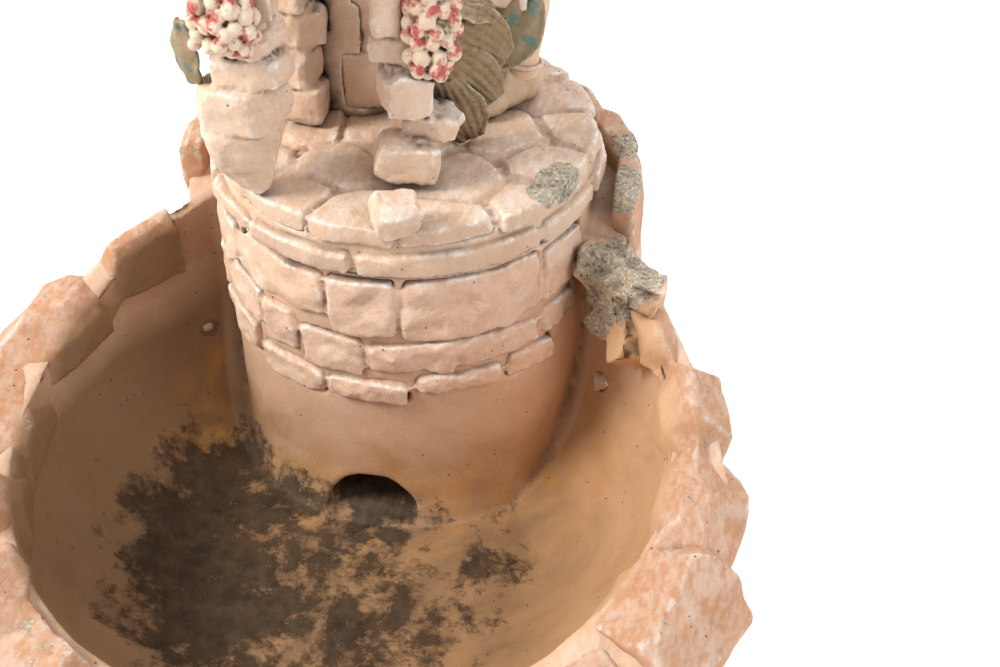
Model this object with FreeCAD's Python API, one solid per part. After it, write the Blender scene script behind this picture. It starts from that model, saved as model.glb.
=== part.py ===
"""Cast-stone rockwork fountain font: a keyhole basin, a round stone drum with a pump chamber,
and a lift-off top casting with flagstones, a small grotto and a figure.

Millimetres. +Z is up, the front of the basin faces -Y, and the origin is on the ground,
below the centre of the circle that the inside of the basin rim follows.
"""

import FreeCAD
import Part
import math
import os
import random

V = FreeCAD.Vector
UP = V(0, 0, 1)

# ---- driving dimensions: basin -------------------------------------------------------------
bowl_radius = 340.0          # inside of the rim
floor_inset = 140.0          # the flat floor's radius is this much smaller
floor_height = 60.0          # top of the basin floor
cove_rise = 235.0            # the wall curves up from the floor over this height
front_shift = -80.0          # y of the outer wall's own centre
wall_width = 75.0            # outer wall's radius under the rim stones, more than the bowl's
wall_taper = 70.0            # and less than that by this much at the ground
wall_break = 250.0           # height where the outer wall turns upright
rim_overhang = 25.0          # rim stones stand this far outside the wall
rim_front = 255.0            # top of the rim at the front
rim_bed = 30.0               # rim stones stand this far above the casting
rim_depth = 48.0             # and reach this far into it
rim_count = 14
rim_half_angle = 131.0
facing_count = 14            # stones in one course of the outer wall
facing_split = 92.0          # joint between its two courses
facing_half_angle = 132.0
facing_proud = 9.0
facing_bed = 16.0
joint_gap = 5.0              # mortar joint between stones

# ---- driving dimensions: drum --------------------------------------------------------------
drum_inset = 40.0            # drum axis, inside the circle of the rim
drum_radius = 214.0
drum_wall = 44.0
drum_top = 410.0
foot_flare = 18.0            # the drum spreads by this much where it meets the floor
foot_height = 60.0
wing_width = 48.0            # wall that wraps the back of the drum stands this far outside it
wing_below = 25.0            # and its casting ends this far below the drum's top
wing_depth = 45.0            # wing stones reach this far into it
wing_clearance = 6.0         # between the wing stones and the top casting
wing_count = 8
wing_start = 82.0            # degrees from the front, about the drum axis
wing_rise = 34.0
arch_width = 110.0
rear_joints = [0.296, 0.592, 0.870]   # joints between courses of the back wall, as shares of its height
rear_count = 8
ground_gap = 4.0             # facing stones stop this far above the ground
course_proud = 8.0
course_bed = 16.0

# ---- driving dimensions: top casting -------------------------------------------------------
slab_inset = 2.0             # the slab's core is this much smaller than the drum
slab_lip = 11.0              # and its edge stones stand this far outside the drum
slab_height = 48.0
edge_height = 31.0           # edge stones reach this high above the drum
flag_height = 16.0           # flagstones stand this far above the slab's core
flag_bed = 10.0              # and reach this far into it
spigot_depth = 12.0
spigot_clearance = 2.0
bore_clearance = 1.0         # round the spout pipe
plan_radius = 212.0          # plan sizes of the rockwork are for a slab core of this radius
stack_height = 326.0         # from the paving to the cap stones
cap_height = 46.0

# ---- driving dimensions: pump --------------------------------------------------------------
pump_x = -34.0
riser_back = 85.0            # riser, behind the drum axis
riser_setback = 74.0         # and behind the pump's front
pump_width = 88.0
pump_depth = 104.0
pump_height = 78.0
pump_foot = 10.0
rotor_z = 42.0               # rotor axis above the feet
rotor_radius = 17.0
rotor_gap = 1.5
rotor_well = 58.0            # depth of the bore that the rotor turns in
bearing_radius = 6.0
bearing_length = 8.0
shaft_radius = 2.0
shaft_gap = 0.3
rotor_nose = 8.0             # room for the blades in the cover
intake_radius = 11.0
cover_thickness = 14.0
strainer_depth = 22.0
strainer_wall = 3.0
dial_radius = 11.0
dial_neck = 4.0
pipe_radius = 8.0
pipe_wall = 1.0
hose_wall = 3.0
hose_gap = 0.3
hose_rise = 8.0              # hose starts this far above the pump
hose_drop = 22.0             # and ends this far below the drum's top
hose_overlap = 50.0          # length of the spout pipe inside the hose
barb_height = 34.0
barb_wall = 3.5
spout_rise = 278.0           # above the paving
spout_reach = 92.0           # in front of the riser

# ---- driving dimensions: figure ------------------------------------------------------------
figure_gap = 10.0            # between the hem and the rock behind
figure_back = 102.0          # behind the drum axis
hem_rise = 128.0             # hem above the paving
hem_radius = 84.0
skirt_length = 270.0
waist_radius = 40.0
torso_length = 164.0
neck_length = 82.0           # from the shoulders to the middle of the head
neck_radius = 17.0
head_radius = 50.0
hair_thickness = 8.0
leg_radius = 23.0
foot_length = 104.0
foot_width = 42.0
foot_height_back = 34.0
rod_radius = 4.0
jug_rise = 62.0              # above the waist
jug_radius = 40.0
leaf_thickness = 7.0

# ---- places that follow --------------------------------------------------------------------
front_radius = bowl_radius + wall_width
base_radius = front_radius - wall_taper
drum_y = bowl_radius - drum_inset
drum_bore = drum_radius - drum_wall
wing_outer = drum_radius + wing_width
wing_top = drum_top - wing_below
slab_radius = drum_radius - slab_inset
slab_edge_radius = drum_radius + slab_lip
slab_core_top = drum_top + slab_height
paving_top = slab_core_top + flag_height
spread = slab_radius / plan_radius
wall_bore = pipe_radius + bore_clearance
riser_y = drum_y + riser_back * spread
spout_z = paving_top + spout_rise
hem_z = paving_top + hem_rise
waist_z = hem_z + skirt_length
shoulder_z = waist_z + torso_length
head_z = shoulder_z + neck_length
jug_z = waist_z + jug_rise
over_all = paving_top + stack_height
rim_line = [(-front_radius - 145, rim_front), (40 - bowl_radius, rim_front + 10), (0, rim_front + 45),
            (drum_y - 200, wing_top - 60), (drum_y - 100, wing_top - 15), (drum_y - 10, wing_top + rim_bed),
            (drum_y + wing_outer + 80, wing_top + rim_bed)]

os.makedirs("parts", exist_ok=True)
made = {}


# ---- stones --------------------------------------------------------------------------------
def corners(planes):
    """Corner points of the convex body that lies under all planes, each (outward normal, distance)."""
    found = []
    count = len(planes)
    for i in range(count):
        for j in range(i + 1, count):
            line = planes[i][0].cross(planes[j][0])
            if line.Length < 1e-6:
                continue
            for k in range(j + 1, count):
                det = line.dot(planes[k][0])
                if abs(det) < 1e-6:
                    continue
                p = (planes[j][0].cross(planes[k][0]) * planes[i][1]
                     + planes[k][0].cross(planes[i][0]) * planes[j][1]
                     + line * planes[k][1]) * (1.0 / det)
                if all(n.dot(p) < d + 1e-6 for n, d in planes):
                    found.append(p)
    merged = []
    for p in found:
        if all((p - q).Length > 1e-4 for q in merged):
            merged.append(p)
    return merged


def convex_solid(planes):
    """Solid with one flat face on each plane that bounds the body."""
    points = corners(planes)
    faces = []
    for n, d in planes:
        ring = [p for p in points if abs(n.dot(p) - d) < 1e-4]
        if len(ring) < 3:
            continue
        mid = sum(ring, V()) * (1.0 / len(ring))
        axis = (ring[0] - mid).normalize()
        side = n.cross(axis)
        ring.sort(key=lambda p: math.atan2((p - mid).dot(side), (p - mid).dot(axis)))
        faces.append(Part.Face(Part.makePolygon(ring + [ring[0]])))
    return Part.Solid(Part.Shell(faces))


def plane(nx, ny, nz, through):
    n = V(nx, ny, nz).normalize()
    return n, n.dot(through)


def chipped(planes, rng, chips, bite, flat_base=True):
    """Knock corners off a convex body, so that it reads as broken stone."""
    points = corners(planes)
    worked = list(planes)
    for _ in range(chips):
        n = V(rng.uniform(-1, 1), rng.uniform(-1, 1), rng.uniform(-0.2 if flat_base else -1, 1)).normalize()
        reach = max(n.dot(p) for p in points)
        worked.append((n, reach - bite * rng.uniform(0.45, 1.0)))
    return convex_solid(worked)


def heading(degrees):
    """Unit vector at this angle from the front (-Y), turning towards +X."""
    a = math.radians(degrees)
    return V(math.sin(a), -math.cos(a), 0)


def ring_stone(centre, a0, a1, z0, z1, r_in, r_out, rng, lean=0.0, slope=0.0, chips=7, bite=16.0,
               skew=(0.0, 0.0), shoulders=None):
    """A stone of a curved course. lean tips its outer face with a tapering wall, slope its top,
    skew turns its two joints off the radius, and shoulders drops its top to each side of a crest."""
    half = (a1 - a0) / 2
    mid = heading((a0 + a1) / 2)
    gap = joint_gap / 2
    planes = []
    for a, sign, turn in ((a0, -1, skew[0]), (a1, 1, skew[1])):
        side = heading(a + sign * 90 + turn)
        planes.append(plane(side.x, side.y, 0, centre + heading(a) * ((r_in + r_out) / 2) - side * gap))
    facets = max(1, round(half / 6))
    for k in range(facets):
        a = (a0 + a1) / 2 + (2 * k + 1 - facets) * half / facets
        out = heading(a)
        point = centre + out * (r_out + rng.uniform(-2, 1)) + UP * z0
        planes.append(plane(out.x, out.y, -lean + rng.uniform(-0.05, 0.05), point))
    back = r_in * math.cos(math.radians(half))
    planes.append(plane(-mid.x, -mid.y, lean, centre + mid * back + UP * z0))
    planes.append(plane(0, 0, -1, V(0, 0, z0)))
    on_top = centre + mid * ((r_in + r_out) / 2) + UP * z1
    planes.append(plane(0, -slope, 1, on_top))
    if shoulders:
        drop_in, drop_out = shoulders
        inner = centre + mid * r_in + UP * (z1 - drop_in)
        outer = centre + mid * r_out + UP * (z1 - drop_out)
        planes.append(plane(-mid.x, -mid.y - slope, rng.uniform(0.9, 1.5), inner))
        planes.append(plane(mid.x, mid.y - slope, rng.uniform(0.8, 1.6), outer))
    return chipped(planes, rng, chips, bite)


def placed(across, back, rise):
    """A point of the rockwork: across and back from the drum axis, and above the paving."""
    return V(across * spread, drum_y + back * spread, paving_top + rise)


def block(across, back, low, high, width, depth, rng, turn=0.0, taper=1.0, chips=9, bite=14.0, tilt=0.06):
    """A stone with a flat bed and a flat top, from low to high above the paving. taper narrows its foot."""
    height = high - low
    centre = placed(across, back, high)
    planes = [plane(0, 0, -1, placed(across, back, low)), plane(0, 0, 1, centre)]
    for k in range(8):
        a = math.radians(turn + 45 * k)
        reach = abs(math.cos(math.radians(45 * k))) * width + abs(math.sin(math.radians(45 * k))) * depth
        reach *= spread
        if k % 2:
            reach *= 0.86
        reach *= 0.5 * rng.uniform(0.95, 1.02)
        lean = reach * (1 - taper) / height + rng.uniform(0, tilt)
        side = V(math.cos(a), math.sin(a), 0)
        planes.append(plane(side.x, side.y, -lean, centre + side * reach))
    return chipped(planes, rng, chips, bite, flat_base=taper == 1.0)


# ---- helpers -------------------------------------------------------------------------------
def save(name, solids):
    """Write one node. A list becomes a group of separate solids."""
    solids = solids if isinstance(solids, list) else [solids]
    shape = solids[0] if len(solids) == 1 else Part.makeCompound(solids)
    if not shape.isValid():
        raise ValueError(name + " is not a valid shape")
    made[name] = shape
    shape.exportStep("parts/" + name + ".step")


def largest(shape):
    """The main solid of a cut, without the loose flakes that pockets leave."""
    return max(shape.Solids, key=lambda s: s.Volume)


def pillar(radius, z0, z1, x=0.0, y=0.0):
    return Part.makeCylinder(radius, z1 - z0, V(x, y, z0))


def box(x0, x1, y0, y1, z0, z1):
    return Part.makeBox(x1 - x0, y1 - y0, z1 - z0, V(x0, y0, z0))


def turned(points, x=0.0, y=0.0):
    """A body turned about the vertical through (x, y), from (radius, z) points."""
    ring = [V(r, 0, z) for r, z in points]
    body = Part.Face(Part.makePolygon(ring + [ring[0]])).revolve(V(), UP, 360)
    body.translate(V(x, y, 0))
    return Part.Solid(body.Shells[0]) if body.ShapeType != "Solid" else body


def along(start, end, r0, r1):
    """A round bar or cone from start to end."""
    way = end - start
    if abs(r0 - r1) < 1e-6:
        return Part.makeCylinder(r0, way.Length, start, way)
    return Part.makeCone(r0, r1, way.Length, start, way)


def limb(points, radii):
    """A rounded limb through the points, as one solid."""
    parts = [Part.makeSphere(r, p) for p, r in zip(points, radii)]
    parts += [along(points[i], points[i + 1], radii[i], radii[i + 1]) for i in range(len(points) - 1)]
    return largest(parts[0].fuse(parts[1:]).removeSplitter())


def rim_height(y):
    for (y0, z0), (y1, z1) in zip(rim_line, rim_line[1:]):
        if y0 <= y <= y1:
            return z0 + (z1 - z0) * (y - y0) / (y1 - y0), (z1 - z0) / (y1 - y0)
    return rim_line[-1][1], 0.0


def rim_reach(degrees):
    """Distance from the origin to the outer wall, at this heading."""
    c = math.cos(math.radians(degrees))
    return -front_shift * c + math.sqrt(front_radius ** 2 - (front_shift ** 2) * (1 - c * c))


drum_centre = V(0, drum_y, 0)
wall_centre = V(0, front_shift, 0)
wall_lean = (front_radius - base_radius) / wall_break


# ---- basin casting -------------------------------------------------------------------------
def drum_outside():
    return turned([(0, floor_height), (drum_radius + foot_flare, floor_height),
                   (drum_radius + foot_flare * 0.35, floor_height + foot_height * 0.4),
                   (drum_radius, floor_height + foot_height), (drum_radius, drum_top), (0, drum_top)],
                  0, drum_y)


def basin_outside():
    bowl = turned([(0, 0), (base_radius, 0), (front_radius, wall_break), (front_radius, slab_core_top),
                   (0, slab_core_top)], 0, front_shift)
    back = pillar(wing_outer, 0, slab_core_top, 0, drum_y)
    body = bowl.fuse(back)
    beyond = 1.5 * front_radius
    line = [V(-beyond, y, z - rim_bed) for y, z in rim_line]
    above = [V(-beyond, rim_line[-1][0], over_all), V(-beyond, rim_line[0][0], over_all)]
    over = Part.Face(Part.makePolygon(line + above + [line[0]])).extrude(V(2 * beyond, 0, 0))
    return largest(body.cut(over).removeSplitter())


def basin_hollow():
    low = V(bowl_radius - floor_inset, 0, floor_height)
    bend = V(bowl_radius - floor_inset * 0.32, 0, floor_height + cove_rise * 0.28)
    lip = V(bowl_radius, 0, floor_height + cove_rise)
    edges = [Part.LineSegment(V(0, 0, floor_height), low).toShape(),
             Part.Arc(low, bend, lip).toShape(),
             Part.LineSegment(lip, V(bowl_radius, 0, over_all)).toShape(),
             Part.LineSegment(V(bowl_radius, 0, over_all), V(0, 0, over_all)).toShape(),
             Part.LineSegment(V(0, 0, over_all), V(0, 0, floor_height)).toShape()]
    return Part.Face(Part.Wire(edges)).revolve(V(), UP, 360)


def rim_ring():
    rng = random.Random(11)
    joints = rim_joints()
    skews = [rng.uniform(-9, 9) for _ in joints]
    stones = []
    for k, (a0, a1) in enumerate(zip(joints, joints[1:])):
        mid = (a0 + a1) / 2
        reach = rim_reach(mid)
        top, slope = rim_height(-math.cos(math.radians(mid)) * (bowl_radius + reach) / 2)
        z1 = top + rng.uniform(-9, 9)
        outside = reach + rim_overhang * rng.uniform(0.45, 1.0)
        z0 = top - rim_bed - rim_depth * rng.uniform(0.8, 1.25)
        stones.append(ring_stone(V(), a0, a1, z0, z1, bowl_radius - rng.uniform(2, 7), outside, rng,
                                 slope=slope * 0.8, chips=10, bite=24, skew=(skews[k], skews[k + 1]),
                                 shoulders=(rng.uniform(14, 34), rng.uniform(18, 44))))
    return stones


def rim_joints():
    """Headings of the joints between rim stones, unevenly spaced."""
    rng = random.Random(12)
    widths = [rng.uniform(0.8, 1.2) for _ in range(rim_count)]
    scale = 2 * rim_half_angle / sum(widths)
    joints = [-rim_half_angle]
    for w in widths:
        joints.append(joints[-1] + w * scale)
    return joints


def below_rim(stones, a0, a1):
    """Height just below the rim stones that stand over this stretch of the outer wall."""
    lowest = 1e9
    for k in range(5):
        p = wall_centre + heading(a0 + (a1 - a0) * k / 4) * (front_radius + rim_overhang)
        for stone in stones:
            b = stone.BoundBox
            if b.XMin - 12 < p.x < b.XMax + 12 and b.YMin - 12 < p.y < b.YMax + 12:
                lowest = min(lowest, b.ZMin)
    return lowest - joint_gap


def wing_ring():
    rng = random.Random(23)
    stones = []
    step = (360 - 2 * wing_start) / wing_count
    for k in range(wing_count):
        a0 = wing_start + k * step
        z1 = wing_top + wing_rise + rng.uniform(-7, 9)
        inner = slab_edge_radius + wing_clearance + 12
        stones.append(ring_stone(drum_centre, a0, a0 + step, wing_top - wing_depth, z1, inner,
                                 wing_outer + 6, rng, chips=8, bite=12))
    return stones


def facing(upper, seed):
    """One course of the outer wall: the lower to the split, the upper from there to the rim."""
    rng = random.Random(seed)
    stones = []
    step = 2 * facing_half_angle / facing_count
    for k in range(facing_count - upper):
        a0 = -facing_half_angle + k * step + upper * step / 2
        a1 = a0 + step
        z0 = facing_split + joint_gap if upper else ground_gap
        z1 = below_rim(rim, a0, a1) if upper else facing_split
        r = base_radius + wall_lean * z0
        stones.append(ring_stone(wall_centre, a0, a1, z0, z1 - rng.uniform(0, 5), r - facing_bed,
                                 r + facing_proud, rng, lean=wall_lean, chips=6, bite=9))
    return stones


def rear_start(z):
    """Heading, about the drum axis, at which the back wall leaves the bowl's wall at this height."""
    back = wing_outer + facing_proud
    bowl = min(base_radius + wall_lean * z, front_radius) + facing_proud
    apart = drum_y - front_shift
    return math.degrees(math.acos((back ** 2 + apart ** 2 - bowl ** 2) / (2 * apart * back))) + 2


def rear_facing():
    rng = random.Random(37)
    stones = []
    gap = joint_gap * 0.4
    edges = [ground_gap - gap] + [share * (wing_top - wing_depth) for share in rear_joints]
    edges.append(wing_top - wing_depth - gap)
    for row, (low, high) in enumerate(zip(edges, edges[1:])):
        z0, z1 = low + gap, high - gap
        start = rear_start(z0)
        count = rear_count - row % 2
        step = (360 - 2 * start) / count
        for k in range(count):
            a0 = start + k * step
            stones.append(ring_stone(drum_centre, a0, a0 + step, z0, z1 - rng.uniform(0, 5),
                                     wing_outer - facing_bed, wing_outer + facing_proud, rng,
                                     chips=6, bite=9))
    return stones


# ---- drum courses --------------------------------------------------------------------------
# Each stone: its two headings, and its bed and top below the drum's top.
upper_course = [(-78, -47, 58, 7), (-47, -10, 62, 5), (-10, 11, 79, 5), (11, 56, 84, 5), (56, 78, 80, 8)]
middle_course = [(-74, -55, 110, 65), (-55, -34, 114, 65), (-34, -20, 126, 69), (-20, 1, 138, 84),
                 (1, 27, 130, 87), (27, 56, 126, 89), (56, 74, 124, 86)]
lower_course = [(-62, -38, 166, 120), (-38, -12, 178, 140), (-12, 14, 174, 141), (14, 42, 158, 133),
                (42, 62, 164, 130)]


def drum_course(rows, seed):
    rng = random.Random(seed)
    return [ring_stone(drum_centre, a0, a1, drum_top - bed, drum_top - top, drum_radius - course_bed,
                       drum_radius + course_proud, rng, chips=5, bite=7) for a0, a1, bed, top in rows]


# ---- slab and paving -----------------------------------------------------------------------
edge_joints = [(-92, -64), (-64, -37), (-37, -1), (-1, 55), (55, 84), (84, 112), (112, 140), (140, 168),
               (168, 196), (196, 222), (222, 246), (246, 268)]
# Middles of the flagstones, across and back from the drum axis.
paving_centres = [(-79, -168), (-15, -192), (-48, -100), (-96, -28), (-38, -18), (92, -178), (86, -100),
                  (166, -48), (163, -124), (185, 30), (158, 94), (118, 158), (119, -3), (40, 40), (10, -38),
                  (-150, -110), (-172, -38), (-178, 40), (-140, 112), (-78, 52), (-70, 148), (20, 140),
                  (40, 196)]


def slab_edging():
    rng = random.Random(41)
    low, high = drum_top + 3, drum_top + edge_height
    return [ring_stone(drum_centre, a0, a1, low, high + rng.uniform(-4, 3), slab_radius - 16,
                       slab_edge_radius - 1, rng, chips=5, bite=6) for a0, a1 in edge_joints]


def paving():
    """Flagstones: each takes the ground that is nearer to its centre than to any other."""
    rng = random.Random(53)
    middles = [placed(across, back, 0) for across, back in paving_centres]
    stones = []
    for here in middles:
        planes = [plane(0, 0, -1, V(0, 0, slab_core_top - flag_bed))]
        tilt_x, tilt_y = rng.uniform(-0.03, 0.03), rng.uniform(-0.03, 0.03)
        planes.append(plane(tilt_x, tilt_y, 1, here - UP * rng.uniform(0, 4)))
        for other in middles:
            if other != here and (other - here).Length < 230 * spread:
                away = (other - here).normalize()
                side = (here + other) * 0.5 - away * (joint_gap / 2)
                planes.append(plane(away.x, away.y, 0.06, side))
        outwards = V(here.x, here.y - drum_y, 0)
        for a in range(0, 360, 18):
            out = heading(a)
            if outwards.Length < 60 * spread or out.dot(outwards) > 0.75 * outwards.Length:
                edge = slab_edge_radius - 6 - rng.uniform(0, 8)
                planes.append(plane(out.x, out.y, 0.08, drum_centre + out * edge + UP * paving_top))
        stones.append(chipped(planes, rng, 4, 7))
    return stones


# ---- rock stacks ---------------------------------------------------------------------------
# Each stone: across and back from the drum axis, bed and top above the paving, width, depth, turn.
def left_stack():
    rng = random.Random(61)
    foot = block(-124, -168, 0, 81, 88, 84, rng, turn=12, taper=0.55, chips=8, bite=13)
    rows = [(-121, -166, 81, 130, 88, 80, -8), (-110, -164, 130, 162, 84, 74, 14),
            (-112, -162, 162, 194, 70, 66, -16), (-116, -158, 194, 242, 76, 70, 20),
            (-112, -160, 242, 283, 84, 74, -12), (-116, -160, 283, stack_height, 80, 76, 6)]
    return [foot] + [block(*row[:6], rng, turn=row[6], bite=12) for row in rows]


def centre_stack():
    rng = random.Random(67)
    rows = [(30, -114, 0, 46, 78, 64, 18), (56, -88, 46, 74, 66, 60, -10), (31, -98, 74, 128, 68, 66, 24),
            (20, -94, 128, 160, 56, 56, 0), (14, -98, 160, 220, 46, 50, 12),
            (16, -96, 220, 274, 62, 60, -14), (14, -98, 274, stack_height, 58, 62, 10)]
    return [block(*row[:6], rng, turn=row[6], bite=11) for row in rows]


def side_stones():
    rng = random.Random(71)
    rows = [(-112, -22, 0, 48, 58, 60, 8), (-120, -24, 48, 92, 60, 58, -12),
            (-112, -20, 92, 138, 66, 60, 15), (-122, -24, 138, 194, 62, 60, 0),
            (-116, -22, 194, 256, 68, 62, -9),
            (-120, -22, 256, stack_height, 66, 62, 12)]
    return [block(*row[:6], rng, turn=row[6], bite=10) for row in rows]


def back_wall_stones():
    rng = random.Random(73)
    rows = [(-46, 22, 0, 71, 66, 40, 6), (-48, 22, 71, 144, 70, 40, -6), (-44, 24, 144, 226, 72, 40, 4),
            (-48, 23, 226, stack_height, 68, 40, 0)]
    return [block(*row[:6], rng, turn=row[6], bite=9, chips=6) for row in rows]


def rear_stones():
    """Stones set in the back and the far side of the grotto."""
    rng = random.Random(79)
    rows = []
    for row, (low, high) in enumerate([(0, 74), (78, 154), (158, 238), (242, stack_height - 4)]):
        shift = 14 if row % 2 else -8
        rows += [(-138 + shift, 126, low, high, 62, 40), (-70 + shift, 130, low, high, 66, 38)]
        rows += [(-168, 52 + shift, low, high, 38, 70)]
    return [block(*row, rng, turn=rng.uniform(-8, 8), bite=9, chips=6) for row in rows]


def cap_stones():
    rng = random.Random(83)
    rows = [(-124, -142, 112, 150, 5), (-8, -104, 108, 92, -8), (-112, 24, 128, 156, 4),
            (-12, -8, 60, 84, 10)]
    low, high = stack_height, stack_height + cap_height
    return [block(across, back, low, high - rng.uniform(0, 10), width, depth, rng, turn=turn, bite=15)
            for across, back, width, depth, turn in rows]


core_across = -92.0
core_width = 152.0


def grotto_core():
    """The mass behind the recess, with a bore for the spout pipe."""
    rng = random.Random(89)
    return block(core_across, 66, -flag_height, stack_height, core_width, 128, rng, bite=10, chips=5)


def bud(centre, size, rng):
    base = [plane(*axis, centre + V(*axis) * size * rng.uniform(0.8, 1.05)) for axis in
            ((1, 0, 0), (-1, 0, 0), (0, 1, 0), (0, -1, 0), (0, 0, 1), (0, 0, -1))]
    return chipped(base, rng, 9, size * 0.75, flat_base=False)


def cluster(lump, centres, size, seed):
    """A lump of the casting with modelled buds standing out of it."""
    rng = random.Random(seed)
    buds = [bud(placed(*c), size * rng.uniform(0.85, 1.1), rng) for c in centres]
    return largest(lump.fuse(buds))


def blade(root, tip, width, thickness):
    """One stiff leaf from its root to its tip."""
    way = (tip - root)
    length = way.Length
    way.normalize()
    flat = way.cross(V(0.35, -1, 0.1)).normalize()
    face = flat.cross(way).normalize()
    mid = (root + tip) * 0.5
    planes = [(face, face.dot(mid) + thickness / 2), (face * -1, -face.dot(mid) + thickness / 2),
              (way * -1, -way.dot(root)), (way, way.dot(tip))]
    for sign in (1, -1):
        lower = (flat * sign - way * 0.25).normalize()
        upper = (flat * sign + way * 0.55).normalize()
        planes.append((lower, lower.dot(root + flat * (sign * width * 0.35))))
        planes.append((upper, upper.dot(root + way * (length * 0.55) + flat * (sign * width * 0.5))))
        planes.append((flat * sign, (flat * sign).dot(mid) + width * 0.5))
    return convex_solid(planes)


# ---- lower casting -------------------------------------------------------------------------
rim = rim_ring()
wings = wing_ring()
outer_low = facing(0, 31)
outer_high = facing(1, 34)
rear = rear_facing()

drum_solid = drum_outside()
beyond = 2 * front_radius
top_ring_cut = box(-beyond, beyond, -beyond, beyond, wing_top, over_all)
basin = basin_outside().cut(top_ring_cut)
basin = basin.cut(basin_hollow()).cut([drum_solid, pillar(drum_radius, drum_top - 60, over_all, 0, drum_y)])
basin = largest(basin.cut(rim + wings + outer_low + outer_high + rear))
save("basin_bowl", basin)

third = rim_count // 3
save("left_rim_stones", rim[:third])
save("front_rim_stones", rim[third:rim_count - third])
save("right_rim_stones", rim[rim_count - third:])
save("wing_stones", wings)
save("lower_facing_stones", outer_low)
save("upper_facing_stones", outer_high)
save("rear_facing_stones", rear)

upper = drum_course(upper_course, 5)
middle = drum_course(middle_course, 6)
lower = drum_course(lower_course, 7)
arch_front = V(0, drum_y - drum_radius - 60, floor_height)
arch = Part.makeCylinder(arch_width / 2, drum_radius, arch_front, V(0, 1, 0))
drum = drum_solid.cut(pillar(drum_bore, 0, over_all, 0, drum_y)).cut([arch] + upper + middle + lower)
save("drum_shell", largest(drum))
save("upper_drum_course", upper)
save("middle_drum_course", middle)
save("lower_drum_course", lower)

# ---- pump ----------------------------------------------------------------------------------
pump_z = floor_height + pump_foot
pump_front = riser_y - riser_setback
cover_front = pump_front - cover_thickness
axis_z = pump_z + rotor_z
rotor_at = V(pump_x, pump_front, axis_z)


def rounded_box(x0, x1, y0, y1, z0, z1, r):
    """A moulded box with its upright edges rounded."""
    solid = box(x0, x1, y0, y1, z0, z1)
    upright = [e for e in solid.Edges if abs(e.tangentAt(e.FirstParameter).z) > 0.9]
    return solid.makeFillet(r, upright)


def y_bar(radius, y0, y1, x=pump_x, z=axis_z):
    return Part.makeCylinder(radius, y1 - y0, V(x, y0, z), V(0, 1, 0))


def pump_parts():
    """Body with the rotor's well, front cover, outlet barb, rear bearing, suction feet and cable gland."""
    half = pump_width / 2
    top = pump_z + pump_height
    well_end = pump_front + rotor_well
    bearing_end = well_end + bearing_length
    seat = y_bar(bearing_radius, well_end, bearing_end)
    shaft_hole = y_bar(shaft_radius + shaft_gap, pump_front, bearing_end)
    barb_bore = pipe_radius - barb_wall
    body = rounded_box(pump_x - half, pump_x + half, pump_front, pump_front + pump_depth, pump_z, top, 12)
    body = body.cut([y_bar(rotor_radius + rotor_gap, pump_front, well_end), seat,
                     pillar(barb_bore, top - 24, top, pump_x, riser_y)])
    outline = [(barb_bore, 0), (pipe_radius + 5, 0), (pipe_radius + 5, hose_rise), (pipe_radius, hose_rise),
               (pipe_radius, barb_height - 3), (pipe_radius - 2, barb_height), (barb_bore, barb_height)]
    barb = turned(outline)
    barb.translate(V(pump_x, riser_y, top))
    inset = 4.0
    left, right = pump_x - half + inset, pump_x + half - inset
    cover = rounded_box(left, right, cover_front, pump_front, pump_z + inset, top - inset,
                        cover_thickness * 0.4)
    cover = cover.cut([y_bar(rotor_radius + rotor_gap, pump_front - rotor_nose, pump_front),
                       y_bar(intake_radius, cover_front, pump_front - rotor_nose)])
    feet = []
    for sx in (-1, 1):
        for y in (pump_front + 16, pump_front + pump_depth - 16):
            foot = turned([(0, 0), (11, 0), (8, 5), (5, pump_foot), (0, pump_foot)])
            foot.translate(V(pump_x + sx * (half - 16), y, floor_height))
            feet.append(foot)
    pump_back = pump_front + pump_depth
    gland = y_bar(9, pump_back, pump_back + 12, z=axis_z + 8)
    gland = gland.cut(y_bar(3.5, pump_back + 2, pump_back + 12, z=axis_z + 8))
    return body, cover, barb, seat.cut(shaft_hole), feet, gland


pump_body, pump_cover, outlet_barb, rotor_bearing, pump_feet, cable_gland = pump_parts()
save("pump_body", pump_body)
save("pump_cover", pump_cover)
save("outlet_barb", outlet_barb)
save("rotor_bearing", rotor_bearing)
save("pump_feet", pump_feet)
save("cable_gland", cable_gland)


def impeller():
    """Rotor magnet, hub and straight blades on the shaft."""
    tip = pump_front - rotor_nose + rotor_gap
    root = pump_front + 4
    magnet = y_bar(rotor_radius - 3, root, pump_front + rotor_well - 2)
    blades = [magnet, y_bar(bearing_radius, tip, root)]
    for k in range(6):
        vane = box(pump_x - 1, pump_x + 1, tip, root, axis_z, axis_z + rotor_radius)
        blades.append(vane.rotate(rotor_at, V(0, 1, 0), 60 * k))
    wheel = blades[0].fuse(blades[1:]).removeSplitter()
    return largest(wheel.cut(y_bar(shaft_radius, tip, pump_front + rotor_well)))


save("impeller", impeller())
save("rotor_shaft", y_bar(shaft_radius, pump_front - 7, pump_front + rotor_well + bearing_length - 1))


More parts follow.
